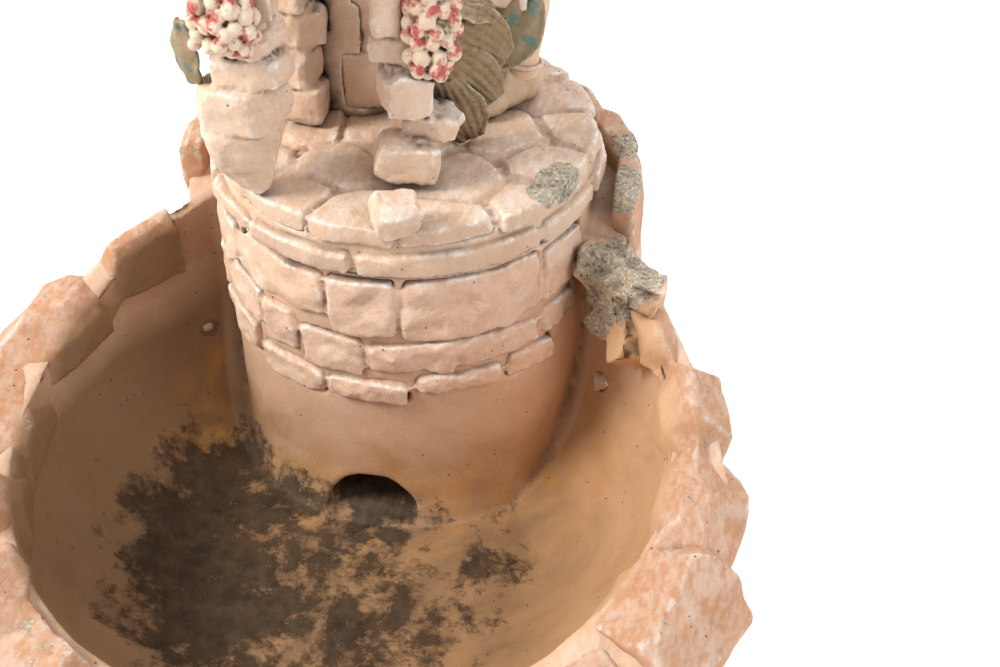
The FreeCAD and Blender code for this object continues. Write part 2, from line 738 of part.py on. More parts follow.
def strainer():
    """Clip-on intake cage: a shell with upright slots and a bore for the flow dial."""
    half = pump_width / 2 - 6
    z0, z1 = pump_z + 6, pump_z + pump_height - 6
    y0 = cover_front - strainer_depth
    wall = strainer_wall
    cage = rounded_box(pump_x - half, pump_x + half, y0, cover_front, z0, z1, 8)
    left, right = pump_x - half + wall, pump_x + half - wall
    cage = cage.cut(box(left, right, y0 + wall, cover_front, z0 + wall, z1 - wall))
    slots = []
    pitch = 8.0
    reach = int((half - 6) // pitch)
    for k in range(-reach, reach + 1):
        x = pump_x + k * pitch
        if abs(x - pump_x) > dial_radius:
            slots.append(box(x - 2, x + 2, y0, y0 + wall, z0 + 10, z1 - 10))
    return largest(cage.cut(slots + [y_bar(dial_neck + 0.3, y0, y0 + wall)]))


def flow_dial():
    """Disc behind the strainer's front, turned by a ribbed knob that stands out of it."""
    y0 = cover_front - strainer_depth
    back = y0 + strainer_wall + shaft_gap
    front = y0 - shaft_gap
    disc = y_bar(dial_radius, back, back + 3)
    knob = y_bar(9, front - 8, front)
    grip = box(pump_x - 1.6, pump_x + 1.6, front - 12, front - 8, axis_z - 8, axis_z + 8)
    return largest(disc.fuse([y_bar(dial_neck, front, back), knob, grip]).removeSplitter())


save("pump_strainer", strainer())
save("flow_dial", flow_dial())

hose_low = pump_z + pump_height + hose_rise
hose_high = drum_top - hose_drop
barb_end = hose_low + barb_height - hose_rise
hose = pillar(pipe_radius + hose_wall, hose_low, hose_high, pump_x, riser_y)
save("riser_hose", hose.cut([pillar(pipe_radius, hose_low, barb_end, pump_x, riser_y),
                             pillar(pipe_radius + hose_gap, barb_end, hose_high, pump_x, riser_y)]))


def hose_clip(z):
    ring = pillar(pipe_radius + hose_wall + 1.2, z, z + 7, pump_x, riser_y)
    start = pump_x + pipe_radius + hose_wall
    ears = box(start, start + 9, riser_y - 4, riser_y + 4, z, z + 7)
    return largest(ring.fuse(ears).cut(pillar(pipe_radius + hose_wall, z, z + 7, pump_x, riser_y)))


save("hose_clips", [hose_clip(hose_low + 10), hose_clip(hose_high - 20)])

# ---- top casting ---------------------------------------------------------------------------
edging = slab_edging()
flags = paving()
left = left_stack()
centre = centre_stack()
side = side_stones()
wall = back_wall_stones()
behind = rear_stones()
caps = cap_stones()
splash = block(46, -212, 0, 34, 50, 46, random.Random(97), turn=28, bite=10)


def elbow(radius, low, reach):
    """A bar of this radius up the riser, round the bend and forwards, as three bodies."""
    turn = V(pump_x, riser_y, spout_z)
    return [pillar(radius, low, spout_z, pump_x, riser_y), Part.makeSphere(radius, turn),
            along(turn, turn - V(0, reach, 0), radius, radius)]


outside = elbow(pipe_radius, hose_high - hose_overlap, spout_reach)
pipe_solid = largest(outside[0].fuse(outside[1:]).removeSplitter())
bore = elbow(wall_bore, hose_high - hose_overlap, spout_reach + 40)
inside = elbow(pipe_radius - pipe_wall, 0, spout_reach + 1)

slab = pillar(slab_radius, drum_top, slab_core_top, 0, drum_y)
spigot = pillar(drum_bore - spigot_clearance, drum_top - spigot_depth, drum_top, 0, drum_y)
slab = slab.fuse(spigot).removeSplitter()
save("slab_edge_stones", edging)

rooted = left + centre + side + wall + behind
core = largest(grotto_core().cut(rooted + bore))
save("grotto_core", core)
wall = [largest(w.cut(bore[2])) if w.BoundBox.ZMin < spout_z < w.BoundBox.ZMax else w for w in wall]
save("recess_wall_stones", wall)
save("recess_side_stones", side)
save("left_stack_stones", left)
save("centre_stack_stones", centre)
save("rear_rock_stones", behind)
save("splash_stone", splash)
save("cap_stones", caps)
save("spout_pipe", largest(pipe_solid.cut(inside)))

# ---- flowers and leaves --------------------------------------------------------------------
rng = random.Random(101)
left_lump = block(-118, -204, 188, 242, 52, 26, rng, chips=6, bite=8)
left_buds = [(-140 + 13 * i + 4 * (j % 2), -216 + abs(i - 2) * 3, 194 + 12 * j)
             for i in range(4) for j in range(4)]
save("left_flowers", largest(cluster(left_lump, left_buds, 7, 103).cut(left)))
centre_lump = block(56, -96, 124, 212, 34, 34, rng, chips=6, bite=8)
centre_buds = [(44 + 10 * i, -114 + 5 * abs(i - 1), 128 + 13 * j + 5 * (i % 2))
               for i in range(4) for j in range(6)]
save("centre_flowers", largest(cluster(centre_lump, centre_buds, 7, 107).cut(centre)))


def leaf_group(root, tips, width, keep_out):
    """Leaves that spring from one root, as one solid."""
    blades = [blade(placed(*root), placed(*tip), width, leaf_thickness) for tip in tips]
    return largest(blades[0].fuse(blades[1:]).removeSplitter().cut(keep_out))


save("left_leaf", leaf_group((-162, -184, 126), [(-168, -194, 210), (-169, -188, 196)], 26, left))
ruffled_tips = [(58, -38, 130), (74, -18, 138), (90, 0, 126), (100, 18, 98), (48, -50, 102)]

# ---- figure --------------------------------------------------------------------------------
facing_way = V(-0.6, -0.8, 0)
sideways = V(0.8, -0.6, 0)
figure_x = (core_across + core_width / 2) * spread + hem_radius + figure_gap
figure_y = drum_y + figure_back * spread
torso = V(figure_x, figure_y, 0)


def shoe(heel, toe_way):
    """Slip-on shoe: a rounded sole and upper."""
    solid = Part.makeBox(foot_length, foot_width, foot_height_back, V(0, -foot_width / 2, 0))
    upright = [e for e in solid.Edges if abs(e.tangentAt(e.FirstParameter).z) > 0.9]
    solid = solid.makeFillet(foot_width / 2 - 2, upright)
    solid = solid.cut(plane_wedge())
    solid.rotate(V(), UP, math.degrees(math.atan2(toe_way.y, toe_way.x)))
    solid.translate(heel)
    return solid


def plane_wedge():
    """Takes the height off the toe end of a shoe."""
    side = -foot_width
    toe, high = foot_length + 5, 2 * foot_height_back
    wedge = [V(44, side, foot_height_back + 0.5), V(toe, side, 15), V(toe, side, high), V(44, side, high)]
    return Part.Face(Part.makePolygon(wedge + [wedge[0]])).extrude(V(0, 2 * foot_width, 0))


right_heel = V(figure_x + 50, figure_y - 6, paving_top + 1)
left_heel = V(figure_x - 12, figure_y + 44, paving_top + 1)
right_ankle = right_heel + facing_way * 22 + UP * foot_height_back
left_ankle = left_heel + facing_way * 22 + UP * foot_height_back
legs = [along(right_ankle, V(right_ankle.x, right_ankle.y, hem_z), leg_radius - 2, leg_radius + 5),
        along(left_ankle, V(left_ankle.x, left_ankle.y, hem_z), leg_radius - 2, leg_radius + 5)]
rods = [pillar(rod_radius, slab_core_top - 20, hem_z + 60, p.x, p.y) for p in (right_ankle, left_ankle)]
shoes = [shoe(right_heel, facing_way), shoe(left_heel, facing_way)]
shoes = [largest(s.cut(rods + [core])) for s in shoes]
legs = [largest(leg.cut(rods)) for leg in legs]

on_paving = [core, splash, bore[0]] + rooted + rods + shoes
flags = [largest(f.cut(on_paving)) for f in flags]
save("flagstones", flags)
save("slab_disc", largest(slab.cut(edging + flags + rods + [bore[0]])))
save("figure_rods", rods)
save("shoes", shoes)
save("legs", legs)

floor = [pillar(slab_radius, drum_top, paving_top, 0, drum_y)] + flags
ruffled = leaf_group((70, -10, -4), ruffled_tips, 34, centre + floor + shoes + legs)
ribbed = leaf_group((88, 30, 0), [(96, 22, 116), (108, 34, 110)], 30, floor + legs + shoes)
save("ruffled_leaves", ruffled)
save("ribbed_leaf", largest(ribbed.cut(ruffled)))

dress = turned([(0, hem_z), (hem_radius, hem_z), (hem_radius - 8, hem_z + 40), (58, hem_z + 150),
                (waist_radius, waist_z), (0, waist_z)], figure_x, figure_y)
save("dress", largest(dress.cut(rods)))
collar_z = shoulder_z + 8
bodice = turned([(0, waist_z), (waist_radius, waist_z), (50, waist_z + 96), (46, shoulder_z - 22),
                 (26, shoulder_z), (neck_radius, collar_z), (0, collar_z)], figure_x, figure_y)
jug_at = torso + facing_way * 112 + UP * jug_z
jug = turned([(0, -52), (24, -52), (jug_radius, -20), (jug_radius - 4, 14), (18, 40), (25, 58), (19, 58),
              (14, 52), (0, 50)])
jug.rotate(V(), V(0, 1, 0), -52)
jug.rotate(V(), UP, 24)
jug.translate(jug_at)
arms = []
for sign in (1, -1):
    shoulder = torso + sideways * (46 * sign) + UP * (shoulder_z - 20)
    elbow = torso + sideways * (66 * sign) + facing_way * 34 + UP * (jug_z + 2)
    hand = jug_at + sideways * (42 * sign) - facing_way * 4
    arms.append(limb([shoulder, elbow, hand], [17, 13, 11]))
save("bodice", largest(bodice.cut(arms)))
arms = [largest(arm.cut([jug, dress])) for arm in arms]
save("arms", arms)
save("jug", jug)
face = Part.makeSphere(head_radius, torso + UP * head_z)
neck = pillar(neck_radius, collar_z, head_z, figure_x, figure_y)
head = largest(face.fuse(neck).removeSplitter())
hair = Part.makeSphere(head_radius + hair_thickness, torso + UP * (head_z + 3))
bun = Part.makeSphere(22, torso - facing_way * (head_radius + 12) + UP * (head_z + 22))
opening = Part.makeSphere(head_radius + 4, torso + facing_way * 34 + UP * (head_z - 26))
hair = largest(hair.fuse(bun).cut([head, opening, neck]))
save("head", head)
save("hair", hair)
print(len(made), "nodes")
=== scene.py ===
"""Looks of the cast-stone rockwork fountain: lower casting with basin and drum, lift-off top casting
with paving, grotto and figure, and the pump in the drum."""

import math
import random
import bpy
from mathutils import Euler, Matrix, Vector


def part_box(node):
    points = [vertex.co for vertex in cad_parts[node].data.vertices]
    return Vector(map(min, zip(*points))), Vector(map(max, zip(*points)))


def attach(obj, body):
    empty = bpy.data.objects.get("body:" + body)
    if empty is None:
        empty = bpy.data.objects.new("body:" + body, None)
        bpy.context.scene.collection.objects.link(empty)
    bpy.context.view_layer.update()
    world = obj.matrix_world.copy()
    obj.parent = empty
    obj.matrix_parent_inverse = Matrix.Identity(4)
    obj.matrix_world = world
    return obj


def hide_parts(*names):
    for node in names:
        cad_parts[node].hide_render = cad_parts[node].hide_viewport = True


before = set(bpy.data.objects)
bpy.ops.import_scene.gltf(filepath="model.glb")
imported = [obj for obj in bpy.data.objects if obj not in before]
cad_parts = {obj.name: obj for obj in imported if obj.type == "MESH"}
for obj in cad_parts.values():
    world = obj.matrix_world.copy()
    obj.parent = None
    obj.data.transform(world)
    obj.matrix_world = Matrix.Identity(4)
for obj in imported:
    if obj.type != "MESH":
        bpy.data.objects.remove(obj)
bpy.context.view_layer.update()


# ---- Floor, light and camera ----------------------------------------------------------------
# A pale seamless floor, one large soft light from the left and a weak one from the right, as in
# a product studio. The camera stands in front and above, turned a little from the right.
def linear(code, alpha=1.0):
    """A colour given as sRGB hex, as the linear values that nodes take."""
    parts = [int(code[k:k + 2], 16) / 255 for k in (1, 3, 5)]
    return [p / 12.92 if p <= 0.04045 else ((p + 0.055) / 1.055) ** 2.4 for p in parts] + [alpha]


def add(tree, kind, links=(), **settings):
    """Add a node with its settings. links gives its inputs, in order or by name, each a value, an
    output or another node, which then stands for its first output in use."""
    made = tree.nodes.new("ShaderNode" + kind)
    for name, value in settings.items():
        setattr(made, name, value)
    for name, value in (links.items() if isinstance(links, dict) else enumerate(links)):
        if isinstance(value, bpy.types.Node):
            value = next(output for output in value.outputs if output.enabled)
        if isinstance(value, bpy.types.NodeSocket):
            tree.links.new(value, made.inputs[name])
        else:
            made.inputs[name].default_value = value
    return made


def soft_light(name, place, aim, size, power, colour):
    data = bpy.data.lights.new(name, "AREA")
    data.shape = "DISK"
    data.size = size
    data.energy = power
    data.color = linear(colour)[:3]
    lamp = bpy.data.objects.new(name, data)
    lamp.location = place
    lamp.rotation_euler = (Vector(aim) - Vector(place)).to_track_quat("-Z", "Y").to_euler()
    bpy.context.scene.collection.objects.link(lamp)


def paint_floor():
    material = bpy.data.materials.new("studio_floor")
    material.use_nodes = True
    tree = material.node_tree
    shader = tree.nodes["Principled BSDF"]
    shader.inputs["Base Color"].default_value = linear("#F7F7F7")
    shader.inputs["Roughness"].default_value = 0.9
    shader.inputs["Emission Color"].default_value = linear("#FFFFFF")
    shader.inputs["Emission Strength"].default_value = 0.42
    return material


camera_place = Vector((0.3978, -1.1005, 1.3574))
camera_pitch, camera_turn, camera_roll = -39.506, 11.700, 0.361
camera_data = bpy.data.cameras.new("studio_camera")
camera_data.lens = 54.0
camera_data.sensor_width = 36.0
camera = bpy.data.objects.new("studio_camera", camera_data)
look = Euler((math.radians(90 + camera_pitch), 0, math.radians(camera_turn))).to_matrix()
look = look @ Matrix.Rotation(math.radians(camera_roll), 3, "Z")
camera.matrix_world = Matrix.Translation(camera_place) @ look.to_4x4()
bpy.context.scene.collection.objects.link(camera)
bpy.context.scene.camera = camera

bpy.ops.mesh.primitive_plane_add(size=14, location=(0, 0, -0.001))
studio_floor = bpy.context.object
studio_floor.name = "studio_floor"
studio_floor.data.materials.append(paint_floor())

soft_light("key_light", (-2.0, -0.9, 2.3), (0, 0.1, 0.3), 1.0, 80, "#FFFAF4")
soft_light("fill_light", (2.3, -0.6, 2.0), (0, 0.1, 0.4), 1.6, 24, "#FBFCFF")
soft_light("back_light", (0.9, 2.6, 2.2), (0, 0.2, 0.5), 1.6, 28, "#FFFFFF")
world = bpy.data.worlds.new("studio_world")
world.use_nodes = True
world.node_tree.nodes["Background"].inputs["Color"].default_value = linear("#F8FAFF")
world.node_tree.nodes["Background"].inputs["Strength"].default_value = 0.5
bpy.context.scene.world = world
bpy.context.scene.view_settings.view_transform = "Standard"


# ---- Lower casting: basin and drum ----------------------------------------------------------
# Basin, drum and the wall round the drum's back are one casting in tinted concrete, with the
# mortar joints modelled in it. The inside is trowelled smooth and stained by water and soil, with painted
# shade on the left wall.
VOXEL = 0.0034
DRUM_CENTRE = (0, 0.3, 0)


def only(*objects):
    bpy.ops.object.select_all(action="DESELECT")
    for o in objects:
        o.select_set(True)
    bpy.context.view_layer.objects.active = objects[0]


def apply(piece, kind, **settings):
    """Put a modifier on a piece and apply it."""
    only(piece)
    bpy.ops.object.modifier_add(type=kind)
    modifier = piece.modifiers[-1]
    for name, value in settings.items():
        setattr(modifier, name, value)
    bpy.ops.object.modifier_apply(modifier=modifier.name)
    return piece


def copy_of(name, *nodes):
    """One mesh from copies of CAD nodes, with its doubles merged."""
    copies = []
    for node in nodes:
        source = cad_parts[node]
        mesh = source.data.copy()
        copies.append(bpy.data.objects.new(name, mesh))
        bpy.context.scene.collection.objects.link(copies[-1])
    only(*copies)
    if len(copies) > 1:
        bpy.ops.object.join()
    piece = bpy.context.view_layer.objects.active
    piece.name = name
    piece.data.materials.clear()
    bpy.ops.object.mode_set(mode="EDIT")
    bpy.ops.mesh.select_all(action="SELECT")
    bpy.ops.mesh.remove_doubles(threshold=0.00002)
    bpy.ops.object.mode_set(mode="OBJECT")
    return piece


def remeshed(piece, voxel):
    return apply(piece, "REMESH", mode="VOXEL", voxel_size=voxel, use_smooth_shade=True)


def texture(name, kind, scale, **settings):
    made = bpy.data.textures.new(name, kind)
    made.noise_scale = scale
    for key, value in settings.items():
        setattr(made, key, value)
    return made


def pushed(piece, pattern, strength, mid=0.5):
    """Move the surface along its normal by a texture."""
    return apply(piece, "DISPLACE", texture=pattern, strength=strength, mid_level=mid, texture_coords="LOCAL")


def moved(piece, distance):
    """Move the whole surface out along its normal."""
    return apply(piece, "DISPLACE", strength=distance, mid_level=0.0)


def thinned(piece, most):
    """Reduce a mesh to a number of triangles."""
    count = sum(len(p.vertices) - 2 for p in piece.data.polygons)
    if count > most:
        apply(piece, "DECIMATE", ratio=most / count)
    only(piece)
    bpy.ops.object.shade_smooth()
    return piece


def mortar_of(name, nodes, spread, sink, voxel):
    """The bed between stones: the stones swollen until they meet, then drawn in below their faces."""
    bed = remeshed(copy_of(name, *nodes), voxel)
    moved(bed, spread)
    remeshed(bed, voxel)
    moved(bed, -(spread + sink))
    return bed


def joined(name, *pieces):
    only(*pieces)
    bpy.ops.object.join()
    pieces[0].name = name
    return pieces[0]


def faceted(piece, count, voxel):
    """Strike a mesh into flat facets, as a chisel leaves: a few large faces, filled in again."""
    triangles = sum(len(p.vertices) - 2 for p in piece.data.polygons)
    apply(piece, "DECIMATE", ratio=min(1.0, count / triangles))
    return remeshed(piece, voxel)


broad = texture("broad_swell", "CLOUDS", 0.09, noise_depth=2)
lumps = texture("lumps", "CLOUDS", 0.035, noise_depth=3)
pits = texture("pits", "CLOUDS", 0.006, noise_depth=2)
scales = texture("laid_stones", "VORONOI", 0.11, distance_metric="DISTANCE", weight_1=-1.0, weight_2=1.0)

rock_nodes = ["left_rim_stones", "front_rim_stones", "right_rim_stones", "wing_stones"]
wall_nodes = ["lower_facing_stones", "upper_facing_stones", "rear_facing_stones"]
drum_nodes = ["upper_drum_course", "middle_drum_course", "lower_drum_course"]
bed = mortar_of("bed", rock_nodes, 0.012, 0.003, 0.005)
wall_bed = mortar_of("wall_bed", wall_nodes + drum_nodes, 0.004, 0.010, 0.005)

# broken grey concrete sticks out of the wall to the right of the drum, below the slab
rng = random.Random(11)
rubble = []
for k in range(34):
    away, turn = rng.uniform(0.325, 0.348), math.radians(rng.uniform(31, 46))
    bpy.ops.mesh.primitive_cube_add(size=rng.uniform(0.028, 0.044), location=(
        away * math.cos(turn), away * math.sin(turn), rng.uniform(0.27, 0.365)),
        rotation=(rng.uniform(0, 3), rng.uniform(0, 3), rng.uniform(0, 3)))
    bpy.ops.object.transform_apply(location=True, rotation=True, scale=True)
    rubble.append(bpy.context.object)
casting = joined("basin_casting", copy_of("core", "basin_bowl", "drum_shell"), bed, wall_bed, *rubble)
remeshed(casting, VOXEL)
apply(casting, "SMOOTH", factor=0.5, iterations=8)
pushed(casting, broad, 0.006)
pushed(casting, lumps, 0.0016)

# the upper inside of the wall is worked as large stones in low relief, behind and beside the drum
relief = casting.vertex_groups.new(name="laid_stones")
for vertex in casting.data.vertices:
    x, y, z = vertex.co
    away = min(1.0, max(0.0, (math.hypot(x, y - DRUM_CENTRE[1]) - 0.225) / 0.05))
    edge = min(1.0, max(0.0, (0.366 - math.hypot(x, y)) / 0.02))
    share = away * edge * min(1.0, max(0.0, (z - 0.10) / 0.16)) * min(1.0, max(0.0, (abs(x) - 0.10) / 0.08))
    if share > 0:
        relief.add([vertex.index], share * min(1.0, max(0.25, (y + 0.16) / 0.2)), "REPLACE")
apply(casting, "DISPLACE", texture=scales, strength=0.017, mid_level=0.5, texture_coords="LOCAL",
      vertex_group="laid_stones")
thinned(casting, 190000)


def cast_stone(name, stain, second, wash_and_top_light, soil_and_shade, wash_and_top_light_amount=0.7, soil_and_shade_amount=0.75, bare=(), crest_bare=0.0,
               basin=False, grain=1.0, paint=None, paint_start=0.5):
    """Wet-cast concrete with an acid stain, limewash rubbed over the high spots, upward faces made paler by a
    painted light from above, and soil in the hollows with painted shade. bare lists places (centre, radius)
    where the stain is gone from the grey aggregate."""
    material = bpy.data.materials.new(name)
    material.use_nodes = True
    tree = material.node_tree
    shader = tree.nodes["Principled BSDF"]
    place = add(tree, "TexCoord").outputs["Object"]
    shape = add(tree, "NewGeometry")
    ridge = shape.outputs["Pointiness"]
    upward = add(tree, "SeparateXYZ", {0: shape.outputs["Normal"]}).outputs["Z"]

    # the stain: two tones in clouds about 90 mm wide
    tone = add(
        tree, "MapRange", [
            add(tree, "TexNoise", {"Vector": place, "Scale": 11.0, "Detail": 6.0, "Roughness": 0.62}), 0.38,
            0.64])
    colour = add(tree, "Mix", {0: tone, 6: linear(stain), 7: linear(second)}, data_type="RGBA")

    # brush dabs about 7 mm by 17 mm, grit of 2 mm, and blotches of 40 mm
    along = add(tree, "Mapping", {"Vector": place, "Scale": (150, 60, 110), "Rotation": (0.5, 0.4, 0.6)})
    strokes = add(
        tree, "TexNoise",
        {"Vector": along.outputs[0], "Scale": 1.0, "Detail": 3.0, "Roughness": 0.6, "Distortion": 0.5})
    grit = add(tree, "TexNoise", {"Vector": place, "Scale": 420.0, "Detail": 3.0, "Roughness": 0.7})
    patch = add(tree, "TexNoise", {"Vector": place, "Scale": 24.0, "Detail": 5.0, "Roughness": 0.65})
    chipped = add(tree, "TexNoise", {"Vector": place, "Scale": 120.0, "Detail": 4.0, "Roughness": 0.7})
    height = add(tree, "Math", [strokes, 0.7, grit], operation="MULTIPLY_ADD")
    height = add(tree, "Math", [chipped, 2.2, height], operation="MULTIPLY_ADD")

    worn_off = 0.0
    if basin:
        colour, height, worn_off = basin_stains_and_left_shade(tree, place, colour, grit, patch)

    # limewash: strongest on ridges, dragged by the brush; upward faces are whitened too, a painted light from
    # above
    on_ridge = add(tree, "MapRange", [ridge, 0.513, 0.565])
    top_painted_light = add(tree, "MapRange", [upward, 0.15, 0.95, 0.14, 0.42])
    brushed = add(
        tree, "MapRange", [add(tree, "Math", [strokes, patch], operation="ADD"), 0.86, 1.16, 0.06, 1.0])
    lime_and_top_light = add(
        tree, "Math", [add(tree, "Math", [on_ridge, top_painted_light], operation="ADD"), brushed], operation="MULTIPLY")
    lime_and_top_light = add(tree, "Math", [lime_and_top_light, wash_and_top_light_amount * 1.7], operation="MULTIPLY", use_clamp=True)
    lime_and_top_light = add(
        tree, "Math", [lime_and_top_light, add(tree, "Math", [1.0, worn_off], operation="SUBTRACT")], operation="MULTIPLY")
    colour = add(tree, "Mix", {0: lime_and_top_light, 6: colour, 7: linear(wash_and_top_light)}, data_type="RGBA")

    # worn paint, left in patches of about 15 mm and gone from the ridges
    if paint:
        left = add(
            tree, "MapRange", [
                add(tree, "TexNoise", {"Vector": place, "Scale": 60.0, "Detail": 4.0, "Roughness": 0.6}),
                paint_start, paint_start + 0.1])
        held = add(tree, "MapRange", [ridge, 0.6, 0.53])
        colour = add(
            tree, "Mix",
            {0: add(tree, "Math", [left, held], operation="MULTIPLY"), 6: colour, 7: linear(paint)},
            data_type="RGBA")

    # bare concrete: grey paste with ochre, dark and pale grains of 2 to 4 mm
    if bare or crest_bare:
        grains = add(tree, "TexVoronoi", {"Vector": place, "Scale": 330.0})
        speck = add(tree, "SeparateColor", {0: grains.outputs["Color"]}).outputs[0]
        aggregate = add(tree, "ValToRGB", {0: speck})
        ramp = aggregate.color_ramp
        ramp.elements[0].color = linear("#6E675A")
        ramp.elements[1].position = 0.16
        ramp.elements[1].color = linear("#A19A8A")
        for position, code in ((0.5, "#B3AC9B"), (0.8, "#C6B594"), (0.93, "#DAD3C2")):
            ramp.elements.new(position).color = linear(code)
        reach = None
        for centre, radius in bare:
            away = add(tree, "VectorMath", {0: place, 1: centre}, operation="DISTANCE").outputs["Value"]
            near = add(tree, "MapRange", [away, radius * 1.25, radius * 0.35])
            reach = near if reach is None else add(tree, "Math", [reach, near], operation="MAXIMUM")
        if crest_bare:
            crest = add(
                tree, "Math", [add(tree, "MapRange", [upward, 0.55, 0.95]), crest_bare], operation="MULTIPLY")
            reach = crest if reach is None else add(tree, "Math", [reach, crest], operation="MAXIMUM")
        ragged = add(
            tree, "Math",
            [add(tree, "TexNoise", {"Vector": place, "Scale": 38.0, "Detail": 8.0, "Roughness": 0.7}), reach],
            operation="ADD")
        bared = add(tree, "MapRange", [ragged, 1.0, 1.07])
        colour = add(
            tree, "Mix", {
                0: add(tree, "Math", [bared, 0.9], operation="MULTIPLY"), 6: colour,
                7: aggregate.outputs["Color"]}, data_type="RGBA")
        rough_grain = add(tree, "Math", [grains.outputs["Distance"], bared], operation="MULTIPLY")
        height = add(tree, "Math", [rough_grain, 1.6, height], operation="MULTIPLY_ADD")

    # soil in hollows and joints, and as thin dust, deepened by ambient occlusion and concavity: painted shade
    # mixed with real soil
    open_sky = add(tree, "AmbientOcclusion", {"Distance": 0.03}, samples=6).outputs["AO"]
    shut_in = add(tree, "MapRange", [open_sky, 0.8, 0.3])
    hollow = add(tree, "MapRange", [ridge, 0.492, 0.45])
    uneven = add(tree, "MapRange", [patch, 0.3, 0.62, 0.45, 1.0])
    shade_and_soil_mask = add(
        tree, "Math", [add(tree, "Math", [shut_in, hollow], operation="ADD"), uneven], operation="MULTIPLY")
    shade_and_soil_mask = add(tree, "Math", [shade_and_soil_mask, soil_and_shade_amount], operation="MULTIPLY", use_clamp=True)
    colour = add(tree, "Mix", {0: shade_and_soil_mask, 6: colour, 7: linear(soil_and_shade)}, data_type="RGBA")

    # pinholes of 1 to 2 mm where air was trapped, filled with dark dust
    holes = add(tree, "TexVoronoi", {"Vector": place, "Scale": 95.0})
    small = add(tree, "MapRange", [holes.outputs["Distance"], 0.15, 0.08])
    chosen = add(tree, "SeparateColor", {0: holes.outputs["Color"]}).outputs[1]
    crowded = add(tree, "Math", [patch, -0.25, chosen], operation="MULTIPLY_ADD")
    pin = add(tree, "Math", [small, add(tree, "MapRange", [crowded, 0.72, 0.76])], operation="MULTIPLY")
    colour = add(
        tree, "Mix",
        {0: add(tree, "Math", [pin, 0.8], operation="MULTIPLY"), 6: colour, 7: linear("#46352A")},
        data_type="RGBA")
    height = add(tree, "Math", [pin, -2.0, height], operation="MULTIPLY_ADD")

    fleck = add(tree, "MapRange", [grit, 0.35, 0.7, 0.95, 1.05])
    colour = add(tree, "VectorMath", {0: colour, "Scale": fleck}, operation="SCALE").outputs[0]
    bump = add(tree, "Bump", {"Height": height, "Strength": 0.5 * grain, "Distance": 0.0013})
    tree.links.new(colour, shader.inputs["Base Color"])
    tree.links.new(bump.outputs[0], shader.inputs["Normal"])
    shader.inputs["Roughness"].default_value = 0.88
    shader.inputs["Specular IOR Level"].default_value = 0.3
    return material


